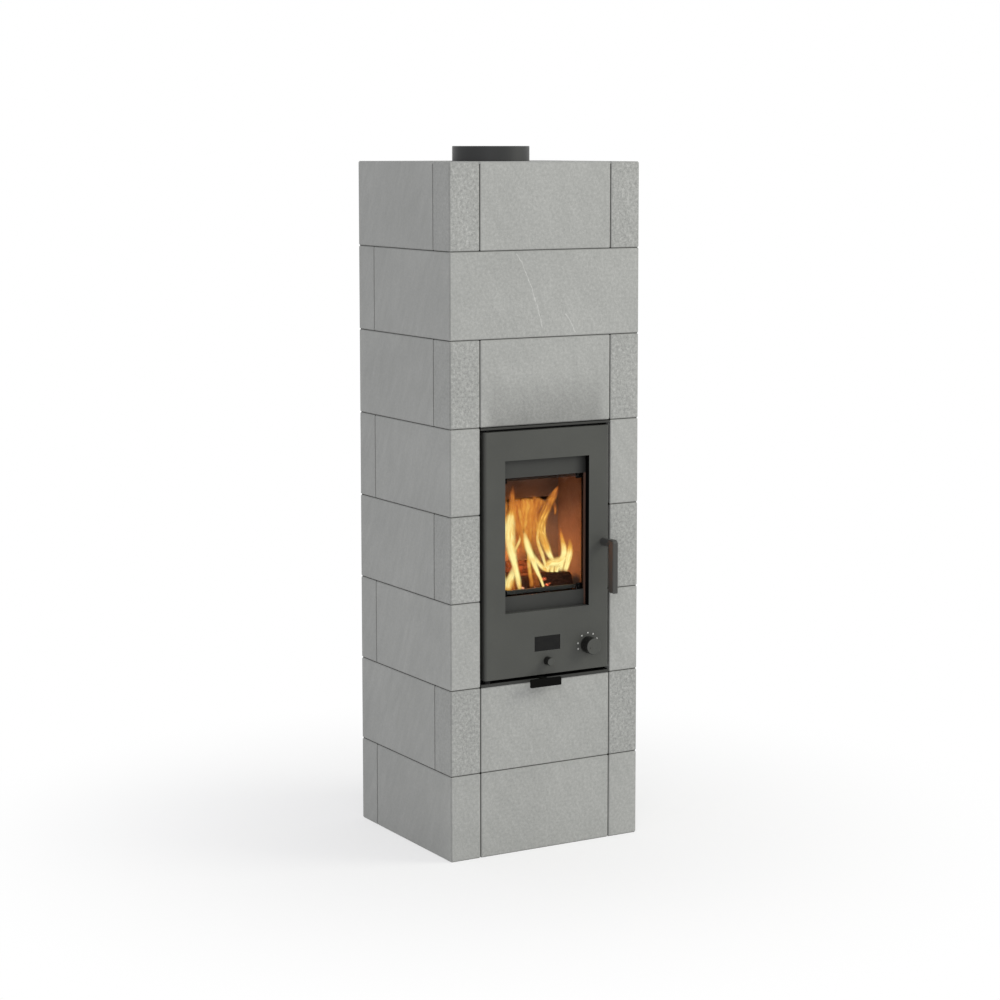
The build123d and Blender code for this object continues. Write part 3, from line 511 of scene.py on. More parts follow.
def make_door_paint():
    """Paint of the door panel, with painted shade along its hinge edge and painted black shade on
    its upright window lips.
    """
    graph = painted("door_paint", (0.073, 0.075, 0.068))
    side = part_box("door_glass")[1].x
    turned = graph.facing(0)
    x = graph.parts(graph.place())[0]
    inside = graph.step("LESS_THAN", graph.size(x), side - LIP_MARGIN)
    lip = graph.product(graph.span(turned, *TURNED), inside)
    hinge_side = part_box("door_panel")[0].x
    # Painted shade along the hinge edge
    edge = graph.span(x, hinge_side, hinge_side + HINGE_SHADE_WIDTH, HINGE_SHADE, 0.0)
    colour = graph.mix(edge, graph.base(), (0.010, 0.010, 0.010))
    # The upright window lips painted near black and without gloss as shade
    gloss = graph.span(lip, 0.0, 1.0, 0.3, 0.0)
    return graph.repaint(graph.mix(lip, colour, (0.004, 0.004, 0.004)), gloss=gloss)


def make_surround_paint():
    """Paint of the door surround, with painted shade near its lower end, on its level faces and
    behind its flanges' front edges.
    """
    graph = painted("surround_paint", (0.045, 0.046, 0.042))
    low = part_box("front_frame")[0]
    y, z = graph.parts(graph.place())[1:3]
    level = graph.facing(2)
    start, end = (low.z + rise for rise in SURROUND_SHADE_SPAN)
    fall = graph.span(z, start, end, SURROUND_SHADE, 0.0)
    behind = graph.span(y, *(low.y + depth for depth in FLANGE_EDGE))
    # Painted shade: darker near the lower end, near black behind the flanges' front edges and on
    # level faces
    colour = graph.mix(fall, graph.base(), (0.010, 0.010, 0.010))
    colour = graph.mix(behind, colour, (0.009, 0.009, 0.009))
    return graph.repaint(graph.mix(graph.span(level, *TURNED), colour, (0.003, 0.003, 0.003)))


def make_pane_frame():
    """Paint of the frame around the pane, with painted shade below and top right and painted
    firelight at its sides.
    """
    graph = painted("pane_frame_paint", (0.046, 0.047, 0.043))
    low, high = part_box("door_glass")
    x, _, z = graph.parts(graph.place())
    fall = graph.span(z, low.z, high.z, LOWER_SHARE, 1.0)
    start, end = (high.x - inset for inset in RIGHT_SHADE_SPAN)
    right = graph.span(x, start, end, 0.0, RIGHT_SHADE, smooth=True)
    above = graph.span(z, *(high.z - drop for drop in BAND_END))
    share = graph.product(fall, graph.rest(graph.product(right, above)))
    # Painted shade towards the lower end and at the right of the top band
    colour = graph.mix(share, (0.003, 0.003, 0.003), graph.base())
    strip = graph.span(graph.size(x), *(high.x - inset for inset in LIT_STRIP))
    strip = graph.product(strip, graph.rest(above))
    # Painted firelight on the side strips below the top band
    return graph.repaint(graph.mix(strip, colour, (0.112, 0.060, 0.042)))


def make_dark_sided(name, face, side, roughness):
    """A turned piece: its front face is painted, its round side painted nearly black as shade."""
    graph = Graph(name)
    place = graph.place()
    grain = graph.noise(place, 1100.0, 2.0)
    front = graph.facing(1)
    on_front = graph.span(front, 0.75, 0.97, smooth=True)
    tone = graph.spread(grain)
    lit = graph.mix(tone, scaled(face, 0.9), scaled(face, 1.1))
    # The round side painted nearly black as shade
    dim = graph.mix(tone, scaled(side, 0.8), side)
    graph.bump(grain, 0.0001, 0.5)
    return graph.surface(graph.mix(on_front, dim, lit), roughness, gloss=0.25)


def make_metal(name, colour, roughness, spread):
    """Bare sheet or wire: metallic with spangle in tone and gloss."""
    graph = Graph(name)
    place = graph.place()
    cells = graph.add("ShaderNodeTexVoronoi", {"Vector": place, "Scale": 130.0})
    spangle = graph.parts(cells.outputs["Color"])[0]
    tone = graph.mix(spangle, scaled(colour, 1 - spread), colour)
    rough = graph.span(spangle, 0.0, 1.0, roughness - 0.06, roughness + 0.06)
    graph.bump(graph.noise(place, 400.0, 2.0), 0.0001, 0.4)
    return graph.surface(tone, rough, metallic=0.9)


def make_cast_iron():
    """Sand-cast iron, dull and pitted, with ash on its upper faces."""
    graph = Graph("cast_iron")
    place = graph.place()
    pits = graph.noise(place, 320.0, 4.0, 0.7)
    up = graph.parts(graph.normal())[2]
    ash = graph.product(graph.span(up, 0.5, 1.0), graph.span(pits, 0.45, 0.7, 0.0, 0.5))
    colour = graph.mix(graph.spread(pits), (0.018, 0.017, 0.016), (0.05, 0.047, 0.045))
    colour = graph.mix(ash, colour, (0.35, 0.33, 0.31))
    graph.bump(pits, 0.0006)
    return graph.surface(colour, 0.75, metallic=0.3)


def make_glass():
    """Fire glass: clear, hazed with smoke towards its rim, with a black printed border."""
    graph = Graph("fire_glass")
    low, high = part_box("door_glass")
    place = graph.place()
    x, _, z = graph.parts(place)
    from_side = graph.step("SUBTRACT", high.x, graph.size(x))
    from_top = graph.step("SUBTRACT", high.z, z)
    from_bottom = graph.step("SUBTRACT", z, low.z)
    rim = graph.step("MINIMUM", from_side, graph.step("MINIMUM", from_bottom, from_top))
    haze = graph.span(rim, *HAZE_SPAN, 0.08, 0.0, smooth=True)
    cloud = graph.spread(graph.noise(place, 30.0, 3.0), 0.3, 1.0)
    shine = graph.add("ShaderNodeFresnel", {"IOR": 1.3}).outputs[0]
    border = graph.step(
        "MAXIMUM",
        graph.span(from_top, PRINT_TOP - PRINT_EDGE, PRINT_TOP + PRINT_EDGE, 0.6, 0.0),
        graph.span(from_side, PRINT_SIDE - PRINT_EDGE, PRINT_SIDE + PRINT_EDGE, 1.0, 0.0),
    )
    alpha = graph.total(graph.product(haze, cloud), shine)
    alpha = graph.step("MAXIMUM", alpha, graph.product(border, 0.93))
    rough = graph.span(cloud, 0.3, 1.0, 0.03, 0.07)
    gloss = graph.span(border, 0.0, 1.0, 0.3, 0.02)
    return graph.surface((0.010, 0.007, 0.005), rough, gloss=gloss, alpha=alpha)


def make_display():
    """Smoked display pane: dark, glossy, with faint wiped streaks in its gloss."""
    graph = Graph("display_pane")
    place = graph.place()
    smear = graph.noise(graph.arrow("MULTIPLY", place, (60.0, 60.0, 220.0))[0], 1.0, 3.0)
    colour = graph.mix(graph.spread(smear), (0.009, 0.009, 0.009), (0.013, 0.013, 0.012))
    rough = graph.spread(smear, 0.12, 0.24)
    return graph.surface(colour, rough, gloss=0.12)


def make_rope():
    """Braided glass-fibre rope, with painted shade in the braid's valleys and lighter ridges."""
    graph = Graph("rope_seal")
    place = graph.place()
    x, y, z = graph.parts(place)
    lean = graph.product(graph.total(x, z, y), ROPE_STRANDS)
    cross = graph.product(graph.step("SUBTRACT", graph.total(x, y), z), ROPE_STRANDS)
    braid = graph.product(graph.step("SINE", lean), graph.step("SINE", cross))
    fray = graph.noise(place, 900.0, 2.0)
    # Painted shade: darker in the braid's valleys, lighter on its ridges
    tone = graph.total(graph.span(braid, -1.0, 1.0, 0.0, 0.8), graph.spread(fray, 0.0, 0.2))
    graph.bump(braid, 0.0005)
    return graph.surface(graph.mix(tone, (0.035, 0.034, 0.033), (0.12, 0.118, 0.115)), 0.95)


def make_rubber():
    """Matt black rubber."""
    graph = Graph("rubber")
    grain = graph.noise(graph.place(), 1200.0, 2.0)
    colour = graph.mix(graph.spread(grain), (0.012, 0.012, 0.012), (0.025, 0.025, 0.025))
    graph.bump(grain, 0.0001)
    return graph.surface(colour, 0.8)


def make_board():
    """Green circuit board with faint copper tracks under its lacquer."""
    graph = Graph("circuit_board")
    place = graph.place()
    x, _, z = graph.parts(place)
    lines = graph.step("SINE", graph.product(graph.total(x, z), BOARD_TRACKS))
    field = graph.span(graph.noise(place, 60.0, 1.0), 0.48, 0.52)
    track = graph.product(graph.step("GREATER_THAN", lines, 0.3), field)
    colour = graph.mix(track, (0.01, 0.07, 0.03), (0.04, 0.16, 0.06))
    return graph.surface(colour, 0.4)


def make_dot_paint():
    """Printed pale dots, a little uneven."""
    graph = Graph("dial_print")
    wear = graph.noise(graph.place(), 700.0, 2.0)
    colour = graph.mix(graph.spread(wear), (0.50, 0.50, 0.48), (0.66, 0.66, 0.64))
    return graph.surface(colour, 0.6)


def make_char():
    """Charred wood: dark brown grain under a cracked black crust, with a few glowing spots."""
    graph = Graph("charred_wood")
    place = graph.place()
    cracks = graph.add(
        "ShaderNodeTexVoronoi", {"Vector": place, "Scale": 110.0}, feature="DISTANCE_TO_EDGE"
    ).outputs["Distance"]
    grain = graph.noise(graph.arrow("MULTIPLY", place, (60.0, 300.0, 300.0))[0], 1.0, 3.0)
    colour = graph.mix(graph.spread(grain), (0.030, 0.014, 0.009), (0.082, 0.038, 0.024))
    split = graph.span(cracks, 0.02, 0.12, 1.0, 0.0)
    colour = graph.mix(graph.product(split, 0.6), colour, (0.006, 0.004, 0.003))
    x, y, z = graph.parts(place)
    faded = graph.span(graph.noise(place, 420.0, 2.0), 0.40, 0.56)
    glow = graph.product(glow_spots(graph, x, y, z), faded, 1.5)
    graph.bump(graph.step("SUBTRACT", grain, graph.product(split, 0.5)), 0.0008)
    graph.emit((1.0, 0.20, 0.08), glow)
    return graph.surface(colour, 0.9, gloss=0.15)


def glow_spots(graph, x, y, z):
    """1 in the middle of each glowing spot on the front of the logs."""
    share = 0.0
    for spot_x, spot_z, reach in GLOW_SPOTS:
        aside = graph.step("SUBTRACT", x, spot_x)
        above = graph.product(graph.step("SUBTRACT", z, spot_z), 1.8)
        away = graph.arrow("LENGTH", graph.vector(aside, 0.0, above))[1]
        near = graph.span(away, reach * 0.3, reach, 1.0, 0.0, smooth=True)
        share = graph.step("MAXIMUM", share, near)
    return graph.product(share, graph.step("LESS_THAN", y, LOG_FRONT))


def make_embers():
    """Coals: ash crust below, glowing where they lie open to the flames."""
    graph = Graph("embers")
    place = graph.place()
    lumps = graph.noise(place, 150.0, 3.0, 0.6)
    crust = graph.noise(place, 520.0, 3.0, 0.7)
    height = graph.span(graph.parts(place)[2], EMBER_DARK, EMBER_BRIGHT, -0.5, 0.10)
    heat = graph.total(lumps, graph.product(crust, 0.25), height)
    heat = graph.span(heat, 0.60, 0.80)
    ash = graph.mix(graph.spread(crust), (0.012, 0.007, 0.006), (0.05, 0.03, 0.022))
    glow = graph.mix(heat, (0.50, 0.04, 0.02), (1.0, 0.55, 0.30))
    graph.bump(lumps, 0.002)
    graph.emit(glow, graph.product(heat, 1.3))
    return graph.surface(ash, 0.95, gloss=0.05)


def make_flame():
    """Flame: soft at its edges and tips, faintly streaked along its flow, paler where it is hot."""
    graph = Graph("flame")
    across = graph.add("ShaderNodeAttribute", attribute_name="across").outputs["Fac"]
    lane = graph.add("ShaderNodeAttribute", attribute_name="lane").outputs["Vector"]
    burn = graph.add("ShaderNodeAttribute", attribute_name="burn").outputs["Vector"]
    beside, gone, seed = graph.parts(lane)
    hot, veil, shown = graph.parts(burn)
    edge = graph.rest(graph.size(across))
    drift = graph.noise(graph.vector(seed, graph.product(gone, 0.5), seed), 1.0, 1.0)
    lanes = graph.vector(
        graph.total(beside, graph.total(drift, graph.product(seed, 9.0))),
        graph.product(gone, 0.22),
        graph.product(seed, 3.0),
    )
    streak = graph.noise(lanes, 1.5, 3.0, 0.5)
    body = graph.span(edge, 0.0, 0.85, smooth=True)
    ends = graph.span(shown, 0.0, 1.0, smooth=True)
    thin = graph.span(streak, 0.32, 0.60, 0.45, 1.0)
    thin = graph.step("MAXIMUM", thin, graph.span(hot, 0.35, 0.75))
    alpha = graph.product(graph.product(body, ends), graph.product(thin, veil))
    # A ray passes the near and the far skin, and both together give the wanted density.
    once = graph.rest(graph.step("SQRT", graph.rest(alpha)))
    heat = graph.total(hot, graph.spread(streak, -0.20, 0.16))
    heat = graph.step("SUBTRACT", heat, graph.span(edge, 0.0, 0.6, 0.22, 0.0, smooth=True))
    glow = FLAME_COLDEST
    for low, high, colour in FLAME_COLOURS:
        glow = graph.mix(graph.span(heat, low, high), glow, colour)
    graph.emit(glow, graph.span(heat, 0.5, 0.95, 1.0, 1.12))
    return graph.surface((0.0, 0.0, 0.0), 1.0, gloss=0.0, alpha=once)


def paint(material, *names):
    """Give CAD nodes one material."""
    for name in names:
        mesh = nodes[name].data
        mesh.materials.clear()
        mesh.materials.append(material)


def paint_stones():
    """The outer stones by their kind."""
    plain = make_stone("soapstone", 0.20)
    corner = make_stone("soapstone_corner", 0.42, tone=0.42)
    veined = make_stone("soapstone_veined", 0.20, veined=True)
    darkened = make_stone("soapstone_darkened", 0.20, darkened=True)
    special = {"course_7_front_stone": veined, "course_6_front_stone": darkened}
    for name in nodes:
        if name.startswith("course_") or name == "top_slab":
            kind = corner if name.endswith("corner_blocks") else plain
            paint(special.get(name, kind), name)


def paint_steel():
    """The insert, the door and the fittings."""
    black = painted("stove_black", (0.012, 0.012, 0.011), 0.7).material
    pin = painted("pin_black", (0.010, 0.010, 0.010), 0.7, gloss=0.1).material
    tab = painted("tab_paint", (0.005, 0.005, 0.0045), 0.8, gloss=0.04).material
    zinc = make_metal("galvanised_sheet", (0.45, 0.46, 0.47), 0.42, 0.25)
    spring = make_metal("dark_steel", (0.06, 0.06, 0.06), 0.45, 0.15)
    knob = make_dark_sided("knob_side_shaded", (0.074, 0.076, 0.069), (0.012, 0.012, 0.011), 0.4)
    paint(make_door_paint(), "door_panel")
    paint(make_surround_paint(), "front_frame")
    paint(make_pane_frame(), "door_inner_frame", "clip_screws")
    paint(painted("handle_paint", (0.060, 0.060, 0.057), 0.5).material, "door_handle")
    paint(painted("collar_paint", (0.042, 0.043, 0.043), 0.45).material, "flue_collar")
    paint(painted("guard_paint", (0.085, 0.098, 0.090), 0.6).material, "log_guard")
    paint(black, "firebox_body", "flue_pipe")
    paint(pin, "hinge_pins", "glass_clips")
    paint(tab, "air_damper")
    paint(zinc, "air_duct", "air_box", "ash_pan", "air_disc")
    paint(spring, "latch_tongue", "latch_catch")
    paint(knob, "dial_knob", "display_button")


def paint_rest():
    """Linings, glass, seals and the electronics."""
    paint(make_storage_stone(), "plinth_stones", "storage_stones")
    paint(make_lining(), "lining_back", "lining_sides", "lining_floor", "baffle_plate")
    paint(make_rope(), "door_gasket", "glass_tape")
    paint(make_cast_iron(), "grate")
    paint(make_glass(), "door_glass")
    paint(make_display(), "display_glass")
    paint(make_rubber(), "button_spring")
    paint(make_board(), "circuit_board")


def new_piece(name, build, material, body):
    """A mesh piece made by build, which rides on a body of the frame."""
    bm = bmesh.new()
    build(bm)
    bmesh.ops.recalc_face_normals(bm, faces=bm.faces)
    mesh = bpy.data.meshes.new(name)
    bm.to_mesh(mesh)
    bm.free()
    for face in mesh.polygons:
        face.use_smooth = True
    piece = bpy.data.objects.new(name, mesh)
    bpy.context.scene.collection.objects.link(piece)
    mesh.materials.append(material)
    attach(piece, body)
    return piece


def turns(count):
    """Angles evenly around a circle."""
    return [2 * math.pi * side / count for side in range(count)]


def skin(bm, rings):
    """Faces between each two neighbouring rings of equal count."""
    for first, second in zip(rings, rings[1:]):
        for side in range(len(first)):
            after = (side + 1) % len(first)
            bm.faces.new((first[side], first[after], second[after], second[side]))


def close_tube(bm, rings):
    """Skin a row of rings and cap both ends."""
    skin(bm, rings)
    bm.faces.new(rings[0])
    bm.faces.new(reversed(rings[-1]))


# Dots around the air dial
DOT_ANGLES = (197, 169, 127, 90, 58, 25)
DOT_CIRCLE = 0.0245
DOT_RADIUS = 0.0018
DOT_THICKNESS = 0.00015
DOT_SIDES = 20


def build_dial_dots(bm):
    """A ring of thin round dots on the door panel around the dial knob."""
    low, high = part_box("dial_knob")
    centre = (low + high) / 2
    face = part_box("door_panel")[0].y
    for angle in DOT_ANGLES:
        turn = math.radians(angle)
        x = centre.x + DOT_CIRCLE * math.cos(turn)
        z = centre.z + DOT_CIRCLE * math.sin(turn)
        rings = []
        for depth in (face, face - DOT_THICKNESS):
            ring = []
            for around in turns(DOT_SIDES):
                aside, above = DOT_RADIUS * math.cos(around), DOT_RADIUS * math.sin(around)
                ring.append(bm.verts.new((x + aside, depth, z + above)))
            rings.append(ring)
        close_tube(bm, rings)


# Rubber cone behind the push button
CONE_TIP = 0.0055
CONE_WALL = 0.0006
CONE_SIDES = 40


def build_cone(bm):
    """The thin-walled rubber cone that springs the push button back."""
    low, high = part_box("button_spring")
    centre = (low + high) / 2
    base = (high.x - low.x) / 2
    profile = (
        (base, high.y),
        (CONE_TIP, low.y),
        (CONE_TIP - CONE_WALL, low.y),
        (base - CONE_WALL, high.y),
    )
    slices = []
    for turn in turns(CONE_SIDES):
        x, z = math.cos(turn), math.sin(turn)
        slices.append([bm.verts.new((centre.x + r * x, y, centre.z + r * z)) for r, y in profile])
    skin(bm, slices + slices[:1])


def squash_cone(cone):
    """Give the cone its own copy of its mesh."""
    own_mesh(cone)


# Logs: ends of the axis, radius, seed
LOG_SIDES = 28
LOG_RINGS = 18
LOG_WAVES = 5
LOG_WAVE = 0.025
LOG_ROUGH = 0.018
SPLIT_DEPTH = 0.72
SPLIT_REACH = 0.2
LOGS = (
    ((-0.060, -0.130, 0.5475), (0.096, -0.133, 0.5425), 0.0230, 3),
    ((-0.094, -0.086, 0.536), (0.070, -0.088, 0.536), 0.0215, 5),
    ((-0.088, -0.084, 0.574), (0.030, -0.092, 0.572), 0.0170, 8),
)


def build_log(bm, start, stop, radius, seed):
    """One split log: a wavy tube along its axis with one flat split side and rough ends."""
    chance = random.Random(seed)
    first = Vector(start)
    axis = Vector(stop) - first
    across = axis.cross(Vector((0.0, 0.0, 1.0))).normalized()
    up = across.cross(axis).normalized()
    phases = [chance.uniform(0, 2 * math.pi) for _ in range(LOG_WAVES)]
    split = chance.uniform(0.3, 1.2)
    rings = []
    for row in range(LOG_RINGS + 1):
        share = row / LOG_RINGS
        end_fall = 0.06 * (abs(2 * share - 1) ** 12)
        ring = []
        for turn in turns(LOG_SIDES):
            wave = sum(
                LOG_WAVE * math.sin((n + 2) * turn + phases[n] + 3.0 * share * (n - 2))
                for n in range(LOG_WAVES)
            )
            reach = radius * (1 + wave - end_fall)
            facing = math.cos(turn - split)
            if facing > SPLIT_REACH:
                reach = min(reach, radius * SPLIT_DEPTH / facing)
            reach *= 1 + chance.uniform(-LOG_ROUGH, LOG_ROUGH)
            out = math.cos(turn) * across + math.sin(turn) * up
            ring.append(bm.verts.new(first + axis * share + reach * out))
        rings.append(ring)
    close_tube(bm, rings)


def build_logs(bm):
    """The three charred logs on the ember bed."""
    for log in LOGS:
        build_log(bm, *log)


# Ember bed: lumps of coal scattered on the hearth behind the log guard
EMBER_COUNT = 110
EMBER_SPAN = ((-0.100, 0.052), (-0.162, -0.112))
EMBER_SIZE = (0.0035, 0.0065)
EMBER_LAYERS = 6
EMBER_LAYER_HEIGHT = 0.0060


def build_embers(bm):
    """Irregular coals in a low heap."""
    chance = random.Random(11)
    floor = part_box("lining_floor")[1].z
    for number in range(EMBER_COUNT):
        size = chance.uniform(*EMBER_SIZE)
        x = chance.uniform(*EMBER_SPAN[0])
        y = chance.uniform(*EMBER_SPAN[1])
        z = floor + size * 0.8 + (number % EMBER_LAYERS) * EMBER_LAYER_HEIGHT
        made = bmesh.ops.create_icosphere(bm, subdivisions=2, radius=size)["verts"]
        stretch = Vector([chance.uniform(0.75, 1.3) for _ in range(3)])
        for vert in made:
            bumpy = 1 + chance.uniform(-0.12, 0.12)
            vert.co = Vector((x, y, z)) + vert.co * bumpy * stretch


# Flames: density, the shares of the length over which root and tip fade, then the centre
# line from the root up as x, depth, height, half width (all in millimetres) and heat in percent
FLAMES = (
    (0.88, 0.40, 0.12, (
        (14, -92, 592, 22, 26), (12, -92, 617, 31, 32), (11, -92, 638, 34, 38),
        (10, -92, 655, 37, 40), (11, -92, 685, 39, 40), (13, -92, 708, 40, 36),
        (14, -92, 722, 37, 32),
    )),
    (1.00, 0.04, 0.20, (
        (-37, -158, 539, 5, 88), (-40, -157, 557, 8, 90), (-42, -152, 577, 9, 94),
        (-42, -142, 597, 10, 94), (-42, -132, 617, 14, 94), (-41, -124, 637, 16, 92),
        (-40, -120, 657, 17, 95), (-39, -120, 676, 15, 90), (-37, -120, 690, 13, 76),
        (-35, -120, 705, 10, 58), (-35, -120, 720, 9, 46), (-34, -120, 733, 9, 36),
        (-33, -120, 746, 6, 26), (-32, -120, 758, 2, 16),
    )),
    (1.00, 0.04, 0.35, (
        (-82, -158, 544, 10, 85), (-77, -154, 562, 12, 95), (-77, -146, 587, 11, 80),
        (-75, -138, 612, 12, 70), (-67, -130, 636, 13, 90), (-59, -122, 661, 13, 92),
        (-54, -118, 682, 11, 80), (-52, -118, 701, 10, 60), (-51, -118, 716, 9, 45),
        (-51, -118, 729, 7, 30), (-50, -118, 740, 2, 20),
    )),
    (1.00, 0.10, 0.45, (
        (-69, -160, 541, 9, 60), (-66, -160, 556, 13, 84), (-59, -158, 570, 11, 90),
        (-52, -154, 584, 7, 90), (-46, -150, 598, 3, 90),
    )),
    (0.85, 0.10, 0.45, (
        (-55, -161, 540, 12, 22), (-54, -161, 550, 13, 34), (-54, -161, 561, 11, 50),
        (-53, -161, 572, 6, 70),
    )),
    (0.85, 0.15, 0.35, (
        (-34, -132, 617, 3, 80), (-30, -132, 627, 4, 80), (-26, -132, 634, 5, 78),
        (-23, -132, 641, 4, 72), (-23, -132, 648, 3, 62), (-26, -132, 656, 1, 50),
    )),
    (0.75, 0.25, 0.30, (
        (-36, -112, 582, 6, 20), (-40, -112, 605, 9, 30), (-43, -112, 624, 9, 50),
    )),
    (0.85, 0.35, 0.25, (
        (-2, -98, 638, 7, 36), (-5, -98, 657, 10, 40), (-8, -98, 676, 14, 40),
        (-11, -98, 695, 18, 36), (-13, -98, 712, 19, 30), (-14, -98, 725, 13, 22),
    )),
    (1.00, 0.04, 0.25, (
        (19, -160, 541, 3, 90), (12, -160, 559, 5, 92), (5, -158, 575, 6, 94),
        (1, -152, 591, 8, 94), (-3, -146, 608, 10, 94), (-6, -140, 623, 11, 92),
        (-9, -136, 638, 9, 94), (-10, -132, 651, 6, 86), (-12, -128, 664, 2, 72),
    )),
    (1.00, 0.10, 0.40, (
        (41, -136, 571, 3, 80), (30, -138, 579, 7, 84), (19, -140, 590, 7, 88),
        (8, -142, 602, 7, 92), (0, -142, 617, 5, 90),
    )),
    (0.90, 0.10, 0.30, (
        (-9, -158, 543, 6, 38), (-11, -158, 562, 7, 46), (-11, -152, 582, 6, 68),
        (-8, -144, 598, 6, 84), (-5, -138, 613, 5, 88), (-4, -134, 628, 2, 80),
    )),
    (0.75, 0.15, 0.35, (
        (4, -157, 541, 10, 22), (1, -157, 557, 10, 26), (1, -152, 573, 8, 36),
        (2, -146, 588, 6, 50), (2, -140, 600, 3, 60),
    )),
    (0.88, 0.35, 0.08, (
        (8, -102, 596, 9, 41), (8, -102, 618, 14, 49), (9, -102, 639, 16, 53),
        (10, -102, 660, 18, 53), (11, -102, 679, 19, 51), (13, -102, 697, 20, 51),
        (14, -102, 713, 21, 55), (14, -102, 723, 17, 51),
    )),
    (0.88, 0.35, 0.08, (
        (33, -108, 591, 8, 39), (30, -108, 617, 13, 45), (28, -108, 639, 16, 47),
        (26, -108, 659, 17, 47), (26, -108, 678, 19, 43), (29, -108, 697, 22, 41),
        (35, -108, 712, 25, 39), (41, -108, 723, 22, 39),
    )),
    (0.70, 0.30, 0.30, (
        (-1, -114, 651, 3, 56), (1, -114, 668, 5, 60), (4, -114, 685, 7, 60),
        (6, -114, 700, 7, 62), (10, -114, 713, 8, 62), (13, -114, 722, 5, 54),
    )),
    (0.70, 0.30, 0.35, (
        (-3, -114, 651, 2, 60), (-6, -114, 670, 5, 58), (-10, -114, 688, 6, 54),
        (-13, -114, 703, 6, 48), (-16, -114, 718, 5, 40),
    )),
    (0.70, 0.30, 0.35, (
        (17, -114, 631, 2, 58), (14, -114, 654, 4, 62), (12, -114, 675, 5, 60),
        (13, -114, 691, 6, 56), (20, -114, 706, 7, 50), (27, -114, 718, 4, 44),
    )),
    (1.00, 0.06, 0.15, (
        (60, -134, 588, 5, 82), (51, -132, 602, 8, 84), (46, -128, 617, 11, 78),
        (41, -124, 633, 12, 72), (37, -121, 649, 13, 68), (37, -119, 664, 14, 66),
        (41, -118, 679, 14, 62), (47, -118, 693, 13, 54), (55, -118, 706, 13, 50),
        (61, -118, 717, 13, 44), (67, -118, 726, 11, 40), (73, -118, 735, 8, 34),
        (78, -118, 743, 4, 26), (82, -118, 750, 1, 18),
    )),
    (0.90, 0.15, 0.35, (
        (57, -134, 592, 3, 88), (50, -131, 610, 4, 86), (45, -127, 626, 3, 80),
        (43, -124, 645, 3, 74), (44, -121, 660, 3, 70), (46, -119, 675, 3, 62),
        (50, -119, 687, 3, 52),
    )),
    (0.95, 0.06, 0.30, (
        (39, -136, 570, 6, 92), (37, -134, 588, 5, 88), (32, -132, 606, 6, 84),
        (26, -130, 623, 6, 80), (23, -128, 637, 5, 76), (25, -126, 651, 5, 70),
        (28, -126, 666, 4, 64), (32, -126, 682, 3, 56),
    )),
    (0.70, 0.30, 0.45, (
        (70, -118, 683, 2, 26), (72, -118, 693, 4, 30), (71, -118, 705, 5, 30),
        (67, -118, 716, 4, 28),
    )),
    (1.00, 0.12, 0.12, (
        (36, -137, 578, 5, 82), (45, -137, 587, 10, 86), (56, -137, 588, 13, 90),
        (67, -137, 589, 13, 90), (77, -137, 593, 11, 88), (84, -137, 602, 8, 88),
    )),
    (1.00, 0.10, 0.55, (
        (41, -138, 569, 5, 90), (43, -138, 579, 7, 94), (45, -138, 590, 6, 92),
    )),
    (1.00, 0.10, 0.55, (
        (51, -139, 568, 6, 90), (52, -139, 578, 7, 94), (55, -139, 590, 6, 92),
    )),
    (1.00, 0.10, 0.55, (
        (62, -138, 567, 6, 90), (64, -138, 577, 8, 94), (66, -138, 588, 7, 92),
    )),
    (1.00, 0.10, 0.28, (
        (73, -136, 566, 7, 94), (76, -136, 580, 9, 94), (79, -136, 593, 9, 90),
        (83, -136, 606, 10, 92), (82, -136, 619, 9, 78), (79, -136, 633, 7, 60),
        (76, -136, 645, 5, 44), (74, -136, 657, 3, 32), (73, -136, 664, 1, 22),
    )),
    (1.00, 0.10, 0.32, (
        (83, -138, 566, 7, 92), (88, -138, 579, 8, 92), (91, -138, 591, 9, 92),
        (94, -138, 603, 10, 90), (96, -138, 615, 8, 78), (96, -138, 628, 6, 58),
        (95, -138, 640, 2, 36),
    )),
    (0.85, 0.15, 0.45, (
        (90, -135, 566, 3, 70), (95, -135, 582, 4, 66), (100, -135, 595, 5, 60),
        (103, -135, 607, 4, 50), (105, -135, 621, 1, 38),
    )),
)
FLAME_ROWS = 26
FLAME_SIDES = 12
FLAME_DEPTH_SHARE = 0.42
FLAME_SEED_STEP = 0.37
FLAME_LOOK_AHEAD = 0.02
MILLIMETRE = 0.001


def smooth_point(points, share):
    """A point on a smooth curve through the given points."""
    spans = len(points) - 1
    place = share * spans
    index = min(int(place), spans - 1)
    t = place - index
    picks = [points[max(0, min(spans, index + step))] for step in (-1, 0, 1, 2)]
    values = []
    for axis in range(len(points[0])):
        a, b, c, d = (pick[axis] for pick in picks)
        bend = 2 * a - 5 * b + 4 * c - d
        twist = 3 * b - a - 3 * c + d
        values.append(0.5 * (2 * b + (c - a) * t + bend * t ** 2 + twist * t ** 3))
    return values


